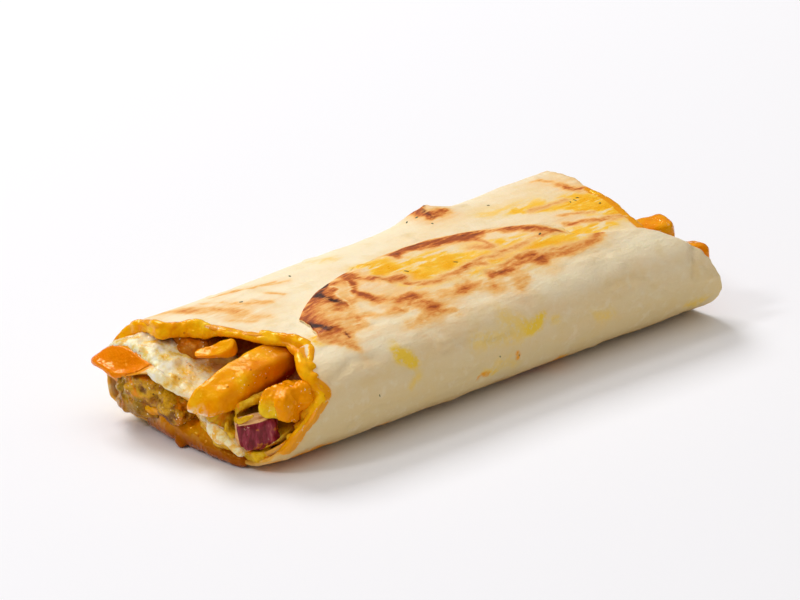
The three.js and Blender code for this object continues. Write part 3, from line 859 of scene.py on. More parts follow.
BACK_TOAST = (
    (0.62, 1.5, ((54, -14), (60, -17), (66, -19), (71, -20))),
    (0.50, 1.1, ((57, -8), (62, -11), (66, -13))),
    (0.45, 2.0, ((74, 19), (76, 15))),
    (0.65, 2.6, ((75, 9), (76, 5), (78, 3))),
    (0.50, 1.2, ((51, 1), (57, 1), (62, 0), (67, 0))),
    (0.80, 2.3, ((28, 29), (29, 27), (29, 23), (33, 21), (35, 21))),
    (0.70, 1.7, ((28, 21), (30, 20))),
    (0.30, 2.9, ((-80, 25), (-75, 24), (-73, 20), (-72, 14))),
    (0.32, 3.5, ((-73, 20), (-70, 17), (-67, 14), (-65, 10))),
    (0.24, 2.0, ((-67, 14), (-65, 9), (-63, 6))),
    (0.28, 3.0, ((-66, 5), (-65, 2), (-63, -1), (-61, -3))),
    (0.26, 1.4, ((-71, 3), (-68, 0), (-66, -4))),
    (0.38, 2.2, ((-60, 13), (-59, 10), (-56, 8), (-53, 5))),
    (0.30, 0.8, ((-65, 22), (-63, 19), (-61, 17))),
    (0.35, 1.3, ((-58, 24), (-54, 23), (-50, 23))),
    (0.42, 1.3, ((-50, 22), (-47, 20), (-44, 19), (-41, 17))),
    (0.35, 1.0, ((-40, 18), (-38, 16), (-36, 16))),
    (0.40, 1.1, ((-48, 12), (-47, 10), (-47, 7))),
)
FLAP_CHAR = (
    (0.80, 1.2, ((-35, 7), (-36, 1), (-33, 2))),
    (0.90, 1.7, ((-41, -3), (-42, -8), (-41, -11))),
    (0.50, 1.4, ((-39, 0), (-40, -4))),
    (1.00, 1.5, ((-60, -14), (-58, -15))),
    (0.90, 1.4, ((-56, -17), (-55, -22))),
    (0.60, 0.9, ((-52, -26), (-52, -28))),
    (0.40, 1.1, ((-53, -4), (-45, 0))),
    (0.50, 0.8, ((-3, 5), (-4, 2))),
    (0.50, 0.8, ((4, 5), (8, 5))),
    (0.35, 0.9, ((21, -1), (25, -4))),
    (0.40, 0.8, ((10, -25), (12, -26))),
)
BACK_CHAR = (
    (0.50, 0.9, ((32, 28), (29, 22), (29, 20))),
)
OIL_MARKS = (
    (0.80, 3.0, ((-16, 3), (-16, -2), (-18, -7))),
    (0.90, 3.0, ((-11, -1), (-14, -8), (-15, -13))),
    (0.80, 2.7, ((-11, -11), (-10, -15), (-8, -18))),
    (0.70, 2.7, ((-5, -8), (0, -10), (6, -11))),
    (0.80, 2.6, ((1, -15), (7, -16), (13, -19))),
    (0.70, 2.3, ((6, -19), (14, -20), (22, -21))),
    (0.60, 2.3, ((16, -20), (25, -21), (32, -22))),
    (0.60, 2.3, ((31, -22), (40, -24), (48, -25))),
    (0.70, 1.8, ((48, 4), (52, 2), (56, 0))),
    (0.70, 2.3, ((56, 0), (62, -2), (68, -3))),
    (1.30, 3.8, ((68, -3), (74, -5), (73, -13))),
    (1.20, 3.3, ((64, -9), (69, -12), (71, -19))),
    (0.90, 3.6, ((73, -4), (75, -9), (74, -15))),
    (0.70, 1.7, ((41, -19), (46, -21), (55, -19))),
    (0.50, 2.0, ((43, -21), (49, -25), (60, -22))),
    (0.35, 4.5, ((42, 9), (53, 6), (61, 4))),
    (0.70, 2.0, ((50, -24), (58, -21), (65, -21))),
    (0.70, 2.6, ((-63, -24), (-58, -23), (-56, -27))),
    (0.35, 3.8, ((-17, 5), (-8, 2))),
    (0.30, 3.0, ((-20, 22), (-15, 19))),
    (0.55, 6.5, ((-12, -16), (20, -20), (33, -21))),
    (0.35, 5.0, ((33, -21), (48, -22))),
    (0.45, 4.0, ((-2, -3), (12, -9), (24, -13))),
)
PALE_MARKS = (
    (1.0, 1.8, ((-2, 0), (2, -1))),
    (1.0, 2.6, ((10, -6), (15, -8))),
    (1.0, 2.4, ((29, -8), (31, -11))),
    (0.9, 2.2, ((-13, -22), (-3, -22.5))),
    (0.8, 1.8, ((9, -21), (11, -23))),
    (1.0, 2.0, ((-38, -17), (-35, -22))),
    (1.0, 2.6, ((-41, -27), (-35, -29))),
    (0.8, 0.5, ((-33.5, 0), (-38, -10), (-41, -17))),
    (0.8, 0.4, ((-31, -3), (-36, -12))),
    (0.8, 2.2, ((47, -25), (56, -21))),
    (0.8, 1.9, ((40, -21), (43, -22))),
    (0.9, 2.0, ((1, -24), (5, -24))),
    (0.8, 1.8, ((-32, -28.5), (-27, -28))),
    (0.8, 1.6, ((24, -7), (27, -8))),
)
WALL_YELLOW = (
    (1.0, 2.1, ((-42, 26), (-38, 23))),
    (0.7, 1.3, ((-37, 24), (-39, 22))),
    (0.4, 2.1, ((-38, 18), (-40, 17))),
    (1.0, 2.1, ((9, 20), (13, 21))),
    (0.7, 1.6, ((13, 22), (15, 23))),
    (0.35, 3.1, ((1, 26), (7, 22))),
    (0.35, 3.7, ((-12, 22), (-5, 21), (4, 19))),
    (0.5, 1.5, ((-11, 11), (-6, 10))),
    (0.4, 1.8, ((19, 20), (21, 20))),
    (0.35, 2.6, ((37, 17), (42, 16))),
    (0.3, 2.4, ((-5, 13), (5, 10))),
    (0.45, 2.6, ((80, 9), (86, 8))),
    (0.5, 1.8, ((26, 4), (30, 3))),
)
WALL_ORANGE = (
    (0.7, 0.9, ((3, 14), (5, 12))),
    (0.6, 1.1, ((-12, 10), (-9, 10))),
    (0.6, 1.6, ((25, 4), (30, 3))),
    (0.9, 2.2, ((-86, 2), (-80, 2), (-75, 3), (-69, 2), (-65, 2))),
    (0.5, 1.2, ((-46, 3), (-44, 3))),
)


# The marks' outlines wander by noise, as (height, size, seed) along each axis

MARK_WARP = ((1.6, 5.0, 101), (0.8, 3.4, 102), (0.8, 3.4, 103))

# Sauce soaked into the rims, as (start, fade, end, band, softness)

TOP_RIM_SAUCE = (148, 6, INSIDE_FROM, 1.0, 1.2)
WALL_RIM_SAUCE = (25, 5, 64, 1.6, 1.4)
FAR_RIM_SAUCE = (183, 6, INSIDE_FROM, 1.2, 1.8)
LIP_SAUCE_X = -93.6


def spread(marks, strength, width):
    """The same marks, fainter and wider."""
    return tuple((strength * s, width * w, line) for s, w, line in marks)


def haze(marks):
    """The soft warm haze round toasted marks."""
    return spread(marks, 0.55, 2.8)


def rim_sauce(distance, from_rim, sauce):
    """Sauce in a band of the bread along a rim, from one distance to another."""
    start, fade, end, band, softness = sauce
    within = hill(np.maximum(from_rim - band, 0) / softness)
    return within * smooth((distance - start) / fade) * (distance < end)


def bread_marks(places, distance, x, outer):
    """Shares of toast, char, oil, yellow and orange stain at places on the bread."""
    warp = [height * rough(places, size, 3, seed) for height, size, seed in MARK_WARP]
    moved = places + np.stack(warp, -1)
    first_layer = outer & (distance < FLAP_TO)
    second_layer = outer & (distance > BACK_FROM) & (distance < BACK_TO)
    upper = places[..., 2] > TOP_FACE
    on_flap, on_back = first_layer & upper, second_layer & upper
    on_top = on_flap | on_back
    on_wall = (first_layer | second_layer) & (places[..., 1] < WALL_FACE)

    top = moved[..., :2]
    toast = strokes(top, FLAP_TOAST + spread(FLAP_CHAR, 0.8, 2.2), 1.5) * on_flap
    toast = toast + strokes(top, BACK_TOAST, 1.2) * on_back
    warm = strokes(top, haze(FLAP_TOAST), 1.5) * on_flap
    warm = warm + strokes(top, haze(BACK_TOAST), 1.2) * on_back
    char = strokes(top, FLAP_CHAR, 1.2) * on_flap + strokes(top, BACK_CHAR) * on_back
    oil = strokes(top, OIL_MARKS, 1.4) * on_top
    pale = np.clip(strokes(top, PALE_MARKS, 1.2) * on_top, 0, 1)
    wall = moved[..., [0, 2]]
    yellow = strokes(wall, WALL_YELLOW) * on_wall
    orange = strokes(wall, WALL_ORANGE) * on_wall

    drawn_out = places * (0.22, 1.0, 1.0)
    underneath = outer * smooth((5 - places[..., 2]) / 5)
    behind = outer * smooth((places[..., 1] - 26) / 8)
    blotches = smooth((rough(drawn_out, 7.0, 4, 104) - 0.15) / 0.8)
    toast = toast + blotches * (0.85 * underneath + 0.25 * behind)
    char = char + 0.7 * underneath * smooth((rough(drawn_out, 6.0, 3, 105) - 0.75) / 0.5)

    from_near, from_far = x - near_rim(distance), far_rim(distance) - x
    near_end = hill(from_near / 4.0) * (distance > 20)
    far_end = hill(from_far / 5.0) * (distance > 110)
    soaked = 0.5 * near_end + 0.5 * far_end + 0.9 * (~outer) * smooth((distance - 20) / 20)
    sauced = rim_sauce(distance, from_near, TOP_RIM_SAUCE)
    sauced = sauced + rim_sauce(distance, from_near, WALL_RIM_SAUCE)
    sauced = sauced + rim_sauce(distance, from_far, FAR_RIM_SAUCE)
    on_lip = smooth((distance - LIP_FROM) / 3) * smooth((LIP_TO - 2 - distance) / 3)
    sauced = sauced + 1.5 * on_lip * smooth(LIP_SAUCE_X - x)
    sauced = sauced + 0.8 * (~outer) * (distance > BACK_FROM) * (distance < FINE_TO)
    return {
        "toast": np.clip(toast, 0, 1.1) * (1 - 0.75 * pale),
        "warm": np.clip(warm, 0, 1) * (1 - 0.8 * pale),
        "oil": np.clip(oil, 0, 1.3) * (1 - 0.5 * pale),
        "char": char, "yellow": yellow, "orange": orange,
        "soaked": soaked, "sauced": np.clip(sauced, 0, 1.5),
    }


# Fillings

OUTLINE_POINTS = 160


def even_outline(corners):
    """Even points round a closed outline."""
    closed = np.concatenate([corners, corners[:1]])
    at = np.concatenate([[0], np.cumsum(np.linalg.norm(np.diff(closed, axis=0), axis=1))])
    want = np.linspace(0, at[-1], OUTLINE_POINTS, endpoint=False)
    return np.stack([np.interp(want, at, closed[:, k]) for k in range(2)], -1)


def sheet_side(start, end, outwards):
    """Points of the section on one side of the sheet, between two distances along it."""
    distances = np.linspace(start, end, 60)
    return np.stack(off_sheet(distances, outwards), -1)


WEB_OPEN = LEAVE + 17  # past here the web is well clear of the wall above it
WEB_SHUT = SHEET_LENGTH - 12  # and up to here of the bread below it
ROOM = SHEET / 2 + CORE_ROOM
LOWER_CENTRE = np.array([12.0, 10.0])
UPPER_CENTRE = np.array([-12.0, 26.0])
TIP_SCALE = 0.02  # of the last ring round the middle of a filling's end


def lower_outline():
    """Section of the lower compartment: the bottom, the far wall and the web's underside."""
    start = sheet_side(distance_at(630) - 12, LEAVE, -ROOM)
    return even_outline(np.concatenate([start, sheet_side(LEAVE, WEB_SHUT, -ROOM)]))


def upper_outline():
    """Section of the upper compartment: the web's top, the shown wall and the top."""
    web = sheet_side(WEB_OPEN, SHEET_LENGTH - 2, ROOM)
    wall = sheet_side(distance_at(585), distance_at(423), -ROOM)
    return even_outline(np.concatenate([web, wall]))


def plug(outline, centre, near_face, far_face, near_rings=28, far_rings=16, steps=30):
    """A filling that runs through the roll, with a relief at each end as x over y and z."""
    rings = []
    for scale in np.linspace(TIP_SCALE, 1, near_rings):
        place = mix(centre, outline, scale)
        rings.append((place, near_face(*place.T)))
    near_x, far_x = near_face(*outline.T), far_face(*outline.T)
    for share in np.linspace(0, 1, steps + 1)[1:-1]:
        rings.append((outline, mix(near_x, far_x, share)))
    for scale in np.linspace(1, TIP_SCALE, far_rings):
        place = mix(centre, outline, scale)
        rings.append((place, far_face(*place.T)))
    yz = np.stack([place for place, x in rings])
    x = np.stack([x for place, x in rings])
    tip_x = np.array([near_face(*centre), far_face(*centre)])
    return closed_rings(bend(x, yz[..., 0], yz[..., 1]), bend(tip_x, *centre))


def sheet_coat(start, end, near_x, far_x, thickness, seed, size=5.0, ragged=0.5):
    """Sauce on the sheet's outer side, between two distances and from near_x to far_x."""
    distance = np.arange(start, end + 0.01, 0.5)[:, None]
    share = np.linspace(0, 1, 60)[None, :]
    near = near_x(distance)
    x = near + (far_x - near) * share
    at = np.broadcast_to(distance, x.shape)
    spots = np.stack([at, x, x * 0], -1)
    from_edge = np.minimum(np.minimum(at - start, end - at) / 4, np.minimum(share, 1 - share) * 6)
    cover = smooth(from_edge + ragged * rough(spots, size, 2, seed) + 0.5)
    high = thickness * cover * (1 + ragged * rough(spots, 2.6, 3, seed + 1))
    upper = on_sheet(at, x, SHEET / 2 - 0.2 + high)
    lower = on_sheet(at, x, SHEET / 2 - 0.5)
    return slab(upper, lower)


FRY_STEP = 0.7
FRY_SIDES = 72


def fry_bar(start, end, width, height, roll, seed, edge, squareness=4.5):
    """A fry: a straight-cut bar with softened edges and cut ends, slightly uneven."""
    along, side, up = (np.array(axis) for axis in bar_axes(start, end, roll))
    start, end = np.array(start), np.array(end)
    length = np.linalg.norm(end - start)
    ends = edge * (1 - np.cos(np.linspace(0, np.pi / 2, 9)))
    middle = np.arange(edge + FRY_STEP, length - edge, FRY_STEP)
    at = np.concatenate([ends, middle, length - ends[::-1]])
    from_end = np.clip((edge - np.minimum(at, length - at)) / edge, 0, 1)
    slim = (1 - from_end**2.4) ** (1 / 2.4)
    shrink = 1 - edge * (1 - slim) / (np.array([width, height])[:, None] / 2)
    angle = np.linspace(0, 2 * np.pi, FRY_SIDES, endpoint=False)
    cosine, sine = np.cos(angle), np.sin(angle)
    radius = (np.abs(cosine) ** squareness + np.abs(sine) ** squareness) ** (-1 / squareness)
    across_bar = cosine * radius * width / 2
    up_bar = sine * radius * height / 2
    line = start + along * at[:, None]
    points = line[:, None] + side * (across_bar * shrink[0][:, None])[..., None]
    points = points + up * (up_bar * shrink[1][:, None])[..., None]
    points = points + 0.35 * rough(points + seed * 10, 9, 2, seed)[..., None] * (side + up)
    return closed_rings(points, [start, end])


# What shows at the ends, at the same places as the solids

SHOWN_FRY = ((-95, -15.5, 19), (-55, -16, 25), 11, 11, 8)
SMALL_FRY = ((-83, 4, 25.2), (-76, -6, 28), 4.2, 4.5, 20)
FAR_FRIES = (
    ((57, -25, 18), (95.5, -34, 18.5), 10, 11, -10),
    ((50, -14, 26), (87, -27, 28), 10, 9, 5),
)
NEAR_CHICKEN = (
    ((-90.5, 15, 15), (14, 15, 9), (15, 0, 10), 1),
    ((-89.5, 23, 13), (11, 9, 12), (0, 10, 0), 5),
    ((-89.5, 3, 11), (14, 13, 8), (20, 0, 0), 8),
    ((-90, 19, 7.8), (13, 15, 7), (-5, 8, 5), 3),
)
FAR_CHICKEN = (
    ((89, 20, 14), (15, 13, 13), (10, 0, 12), 6),
    ((89, 5, 11.5), (13, 12, 10), (25, 0, -8), 9),
    ((88, 14, 7.5), (14, 16, 6), (0, 0, 0), 2),
)
NEAR_SHREDS = (
    (((-74, -19, 14), (-78, -22, 19), (-84, -22, 19), (-86, -18.5, 15.5), (-82, -17, 13.5)), 3),
    (((-78, -16, 12), (-88, -17, 12.5), (-93, -20, 10.5)), 4),
    (((-76, -6, 17), (-86, -5, 18.5), (-91, -9, 15.5)), 3.4),
)
FAR_SHREDS = (
    (((76, -14, 17), (88, -15, 17), (94, -19, 13)), 4),
    (((74, -2, 21), (84, 2, 24), (90, -3, 19)), 3.4),
    (((74, -26, 27), (82, -22, 29), (87, -16, 27)), 3),
)


def chicken_near_face(y, z):
    drawn_back = 3.5 * smooth((y - 17) / 8) * smooth((17 - z) / 6)
    return -88 + 1.5 * ripple(y / 4, z / 4, 1) + smooth((y + 5) / -15) * 2 + drawn_back


def chicken_far_face(y, z):
    return 88 + 1.8 * ripple(y / 4, z / 4, 5) - z * 0.1


def slaw_near_face(y, z):
    beside_onion = 2.5 * smooth((-19 - y) / 4)
    return mix(-88.5, -66, smooth((z - 4) / 26)) + beside_onion + 1.2 * ripple(y / 3, z / 3, 2)


def slaw_far_face(y, z):
    return mix(91, 70, smooth((z - 6) / 28)) + 1.2 * ripple(y / 3, z / 3, 7)


VOXEL = 0.4  # of the skins over fillings and sauce at the shown end
FAR_VOXEL = 0.5


def end_mass(core, chunks, voxel, softness, seed, relief, size=3.0):
    """The part of a filling that shows at one end, melted together and roughened."""
    mesh = melted([core, *chunks], voxel, softness)
    return raised(mesh, relief * rough(mesh[0], size, 3, seed))


def drops(centres, detail=3, uneven=0.12):
    """Round blobs of thick sauce, each given as (x, y, z, radius)."""
    return [chunk((x, y, z), (2 * r,) * 3, squareness=2.2, uneven=uneven, seed=i, detail=detail)
            for i, (x, y, z, r) in enumerate(centres)]


def rope(corners, steps):
    """Blobs run together along a line of (x, y, z, radius) corners."""
    return drops(smooth_line(corners, steps))


def rim_rope(rim, start, end, inwards, outwards, radius, seed, uneven=0.25):
    """Thick sauce running along a rim of the sheet, from one distance to another.

    inwards is added to the rim's x, and outwards is measured from the middle of the sheet.
    """
    distance = np.arange(start, end + 0.01, 0.8)
    wide, narrow = noise(on_axis(distance), 5.0, seed), noise(on_axis(distance), 2.0, seed + 1)
    sizes = radius * (1 + uneven * wide + 0.4 * uneven * narrow)
    taper = np.sqrt(smooth((distance - start) / 4 + 0.15) * smooth((end - distance) / 4 + 0.15))
    centres = on_sheet(distance, rim(distance) + inwards, outwards)
    return drops(np.column_stack([centres, sizes * taper]), detail=2, uneven=0.06)


def sauce_blob(parts, seed, softness=6, relief=0.15, size=3.0):
    """Parts run together as sauce, with a soft unevenness, and kept on the floor."""
    points, faces = melted(parts, VOXEL, softness)
    points, faces = raised((points, faces), relief * rough(points, size, 3, seed))
    points[:, 2] = np.maximum(points[:, 2], 0.05)
    return points, faces


# Materials of the pieces

SCATTER_SCALE = 1.5 * MM  # how far light goes under a skin


def bread_material():
    """Soft flatbread: cream, toasted in streaks, stained by oil and sauce."""
    s = Surface(
        "bread", Roughness=0.6, Specular_IOR_Level=0.22, Subsurface_Weight=0.08,
        Subsurface_Scale=SCATTER_SCALE, Subsurface_Radius=(1.0, 0.6, 0.3),
    )
    streaked = s.stretched((0.3, 1.0, 1.0))
    soft = s.noise(11, 4, vector=streaked)
    fine = s.noise(1.3, 5, 0.6)
    streaks = s.noise(2.4, 5, 0.62, vector=streaked, distortion=0.4)
    thin_streaks = s.noise(0.9, 4, 0.6, vector=streaked, distortion=0.3)

    colour = s.blend(s.between(soft, 0.3, 0.7), srgb(240, 212, 164), srgb(242, 223, 188))
    # Painted shade: the bread darker and warmer towards the floor, and more so in its lowest
    # millimetres, for the shaded wall and the warm light bounced up from the floor.
    colour = s.stained(colour, s.heights(31, 10), (229, 205, 150), 0.85)
    colour = s.stained(colour, s.heights(9, 1), (216, 172, 92), 0.55)
    # Painted light: a paler band along the top's shoulder, where light falls on it.
    crest_painted_light = s.times(s.heights(25, 30), s.heights(34.5, 32))
    colour = s.stained(colour, crest_painted_light, (253, 240, 208), 0.7)
    flour = s.patches(3.5, 0.5, 0.72)
    colour = s.stained(colour, flour, (244, 230, 202), 0.4)
    yellowish = s.patches(8, 0.5, 0.7)
    colour = s.stained(colour, yellowish, (232, 200, 128), 0.3)
    warm = s.patches(16, 0.52, 0.75, 3, 0.55, vector=streaked)
    colour = s.stained(colour, warm, (240, 190, 130), 0.2)

    soaked = s.times(s.attribute("soaked"), s.patches(5, 0.3, 0.6, 4, 0.55))
    colour = s.stained(colour, soaked, (230, 168, 56))
    warmed = s.times(s.attribute("warm"), s.between(streaks, 0.15, 0.7))
    colour = s.stained(colour, s.between(warmed, 0.0, 0.6), (241, 188, 120), 0.9)
    oil = s.times(s.attribute("oil"), s.between(streaks, 0.25, 0.62))
    oily = s.ramp(oil, ((0.0, (247, 216, 128)), (0.4, (251, 196, 54)), (0.8, (249, 176, 14))))
    colour = s.blend(s.between(oil, 0.02, 0.45), colour, oily)

    grain = s.plus(s.times(streaks, 2.1), s.times(thin_streaks, 1.2))
    grain = s.plus(s.plus(grain, s.times(fine, 0.5)), -0.85)
    toast = s.times(s.attribute("toast"), grain)
    browns = s.ramp(toast, (
        (0.0, (246, 212, 158)), (0.22, (246, 202, 136)), (0.42, (240, 180, 102)),
        (0.62, (222, 140, 62)), (0.82, (194, 100, 32)), (1.0, (160, 74, 22)),
    ))
    colour = s.blend(s.between(toast, 0.0, 0.42), colour, browns)
    char = s.times(s.attribute("char"), s.plus(s.times(grain, 1.5), -0.4))
    charred = s.ramp(char, ((0.2, (158, 76, 24)), (0.65, (104, 46, 18)), (1.0, (60, 28, 18))))
    colour = s.blend(s.between(char, 0.12, 0.8), colour, charred)

    sauced = s.times(s.attribute("sauced"), s.patches(2.2, 0.25, 0.5))
    sauced = s.between(sauced, 0.2, 0.5)
    colour = s.blend(sauced, colour, s.blend(soft, srgb(232, 136, 0), srgb(246, 170, 10)))
    dabs = s.patches(1.8, 0.2, 0.55)
    yellow = s.times(s.attribute("yellow"), dabs)
    colour = s.stained(colour, s.between(yellow, 0.0, 0.7), (249, 206, 46), 0.92)
    orange = s.times(s.attribute("orange"), dabs)
    colour = s.stained(colour, s.between(orange, 0.05, 0.6), (240, 160, 24))
    s.set(Base_Color=colour)

    wet = s.plus(s.plus(oil, sauced), s.times(soaked, 0.5))
    s.set(Roughness=s.add("MapRange", {"Value": wet, "To Min": 0.62, "To Max": 0.22}).outputs[0])
    pores = s.bump(s.noise(0.9, 4, 0.6), 0.14)
    s.set(Normal=s.bump(s.noise(4.0, 4, 0.6, vector=streaked), 0.45, pores))
    return s.material


def wet_surface(name, roughness, specular=0.4, scatter=0.1, depths=(1.0, 0.4, 0.05),
                gloss=(1, 0.68, 0.1)):
    """A moist surface.

    scatter is the share of light that goes under its skin, depths how far its red, green and
    blue go, and gloss the tint of its shine.
    """
    return Surface(
        name, Roughness=roughness, Specular_IOR_Level=specular, Specular_Tint=(*gloss, 1),
        Subsurface_Weight=scatter, Subsurface_Scale=SCATTER_SCALE, Subsurface_Radius=depths,
    )


def with_painted_glints(s, colour, patch_size, share):
    """A colour with painted glints: small white specks that stand for highlights, in patches that cover
    a share of it.
    """
    patches = s.patches(patch_size, 1 - share, 1.1 - share, 3, 0.5)
    glints = s.patches(0.9, 0.62, 0.69, 2, 0.5)
    return s.stained(colour, s.times(patches, glints), (255, 242, 200))


def sauce_material():
    """Thick glossy orange sauce, darker near the floor with painted shade."""
    s = wet_surface("orange sauce", 0.09)
    colour = s.ramp(s.noise(7, 4, 0.6), (
        (0.3, (242, 142, 0)), (0.45, (250, 166, 0)), (0.6, (253, 186, 10)), (0.75, (255, 208, 54)),
    ))
    colour = s.stained(colour, s.attribute("rich"), (240, 122, 0))
    # Painted shade: darker brown-orange towards the floor.
    colour = s.stained(colour, s.heights(11, 2), (146, 56, 0), 0.9)
    colour = s.stained(colour, s.specks(2.6, 0.12), (170, 74, 0), 0.5)
    s.set(Base_Color=with_painted_glints(s, colour, 6, 0.37))
    s.set(Normal=s.bump(s.noise(2.2, 3, 0.6), 0.42, s.bump(s.noise(5, 3), 0.5)))
    return s.material


def cream_material():
    """White garlic sauce, stained yellow and orange in places, with painted glints."""
    s = wet_surface(
        "white sauce", 0.09, 0.5, scatter=0.3, depths=(1.0, 0.7, 0.25), gloss=(1, 0.97, 0.9)
    )
    colour = s.ramp(s.noise(4.2, 5, 0.62), (
        (0.30, (232, 168, 20)), (0.40, (244, 204, 96)), (0.50, (251, 234, 186)),
        (0.66, (253, 246, 228)),
    ))
    orange = s.maths("MAXIMUM", s.patches(5.5, 0.55, 0.64, distortion=0.5), s.attribute("stain"))
    colour = s.stained(colour, orange, (248, 180, 40), 0.75)
    colour = s.stained(colour, s.specks(2.2, 0.06), (140, 84, 10), 0.6)
    s.set(Base_Color=with_painted_glints(s, colour, 5, 0.5))
    s.set(Normal=s.bump(s.noise(0.9, 4, 0.65), 0.3, s.bump(s.noise(2.4, 3), 0.4)))
    return s.material


def chicken_material():
    """Marinated chicken: olive, brown and orange, moist, with fibres."""
    s = wet_surface("chicken", 0.1, 0.5, gloss=(1, 0.85, 0.45))
    colour = s.ramp(s.noise(3.6, 5, 0.65, distortion=0.3), (
        (0.28, (108, 54, 0)), (0.40, (166, 102, 0)), (0.50, (204, 150, 6)),
        (0.60, (230, 172, 20)), (0.74, (242, 204, 84)),
    ))
    orange = s.patches(6, 0.5, 0.62, distortion=0.6)
    colour = s.stained(colour, orange, (238, 140, 0), 0.9)
    olive = s.patches(7.5, 0.54, 0.66, 3, 0.5)
    colour = s.stained(colour, olive, (158, 132, 4), 0.65)
    colour = s.stained(colour, s.specks(1.8, 0.12), (84, 36, 0), 0.75)
    # Painted shade: darker red-brown where the chicken lies inside the roll or in the cavity.
    deep_colour = s.blend(s.noise(4, 3), srgb(150, 56, 0), srgb(214, 116, 4))
    colour = s.blend(s.times(s.attribute("deep"), 0.9), colour, deep_colour)
    # Painted shade: darker towards the floor.
    colour = s.stained(colour, s.heights(14, 6), (142, 70, 0), 0.5)
    # Painted shade, dark in the hollows of the chicken's relief.
    colour = s.stained(colour, s.attribute("crevice"), (98, 40, 0), 0.85)
    s.set(Base_Color=with_painted_glints(s, colour, 5, 0.49))
    fibres = s.noise(1.0, 4, 0.6, vector=s.stretched((1.0, 0.3, 0.7)))
    s.set(Normal=s.bump(fibres, 0.45, s.bump(s.noise(2.6, 4, 0.6), 0.7)))
    return s.material


def slaw_material():
    """Shredded cabbage and potato in yellow sauce."""
    s = wet_surface("slaw", 0.1, depths=(1.0, 0.7, 0.2), gloss=(1, 0.85, 0.45))
    colour = s.ramp(s.noise(4.0, 5, 0.62, distortion=0.3), (
        (0.28, (190, 124, 0)), (0.40, (222, 166, 2)), (0.52, (240, 192, 24)),
        (0.64, (248, 216, 76)), (0.78, (252, 236, 160)),
    ))
    orange = s.patches(5.0, 0.52, 0.64)
    colour = s.stained(colour, orange, (232, 132, 0), 0.85)
    # Painted shade: dark red-brown inside the roll.
    colour = s.stained(colour, s.attribute("deep"), (140, 36, 2))
    s.set(Base_Color=with_painted_glints(s, colour, 5, 0.4))
    s.set(Normal=s.bump(s.noise(1.1, 4, 0.6), 0.3, s.bump(s.noise(3.0, 3), 0.5)))
    return s.material


def fry_material():
    """Fries soaked in orange sauce, with browned spots and a little white sauce."""
    s = wet_surface("fry", 0.1)
    colour = s.ramp(s.noise(9, 5, 0.6), (
        (0.3, (234, 126, 0)), (0.45, (245, 150, 0)), (0.58, (250, 166, 0)), (0.72, (252, 188, 24)),
    ))
    colour = s.stained(colour, s.specks(2.4, 0.12), (160, 70, 0), 0.55)
    # Painted shade: dark red along the fry's far part, which lies under the top, and its lower side
    # there.
    colour = s.stained(colour, s.attribute("deep"), (150, 36, 0))
    foam = s.times(s.attribute("white"), s.patches(1.3, 0.36, 0.56, 3))
    colour = s.stained(colour, foam, (250, 243, 226), 0.9)
    s.set(Base_Color=with_painted_glints(s, colour, 7, 0.4))
    s.set(Normal=s.bump(s.noise(3.0, 4, 0.6), 0.5))
    return s.material


def onion_material():
    """Red onion: magenta layers with a pale skin along their edges."""
    s = wet_surface("red onion", 0.12, depths=(1.0, 0.4, 0.4), gloss=(1, 0.7, 0.6))
    streaks = s.noise(2.0, 4, 0.6, vector=s.stretched((1.0, 1.0, 0.25)))
    colour = s.ramp(streaks, (
        (0.3, (80, 6, 12)), (0.46, (118, 18, 34)), (0.58, (156, 48, 70)), (0.72, (202, 116, 108)),
    ))
    edge = s.plus(s.attribute("pale"), s.times(s.plus(streaks, -0.5), 0.8))
    colour = s.stained(colour, s.between(edge, 0.35, 0.75), (238, 190, 132))
    yellow = s.patches(3.0, 0.58, 0.66, 4, 0.55)
    colour = s.stained(colour, yellow, (214, 130, 20), 0.6)
    s.set(Base_Color=with_painted_glints(s, colour, 4, 0.4))
    s.set(Normal=s.bump(streaks, 0.3, s.bump(s.noise(1.5, 3), 0.2)))
    return s.material


def coated_material():
    """Pale yellow potato under an uneven coat of orange sauce."""
    s = wet_surface("coated potato", 0.09)
    coat = s.plus(s.attribute("coat"), s.plus(s.noise(3.5, 5, 0.62), -0.5))
    colour = s.ramp(coat, (
        (0.1, (250, 206, 36)), (0.4, (251, 188, 10)), (0.7, (250, 168, 0)), (1.0, (246, 150, 0)),
    ))
    s.set(Base_Color=with_painted_glints(s, colour, 4, 0.5))
    s.set(Normal=s.bump(s.noise(1.6, 4, 0.6), 0.25, s.bump(s.noise(3.0, 3), 0.4)))
    return s.material


def herb_material():
    """Dried herbs and pepper."""
    s = Surface("herbs", Roughness=0.45)
    s.set(Base_Color=s.ramp(s.noise(2.0, 2), ((0.4, (44, 48, 22)), (0.6, (84, 92, 44)))))
    return s.material


BREAD = bread_material()
SAUCE = sauce_material()
CREAM = cream_material()
CHICKEN = chicken_material()
SLAW = slaw_material()
FRY = fry_material()
ONION = onion_material()
COATED = coated_material()
HERBS = herb_material()

# The bread's piece

tortilla, at, x, outer = bread_mesh()
places = tortilla[0].reshape(*at.shape, 3)
marks = bread_marks(places, at, x, outer)
add_piece("tortilla", tortilla, BREAD, "bread", ["flatbread"], **marks)

# Fries, onion and potato


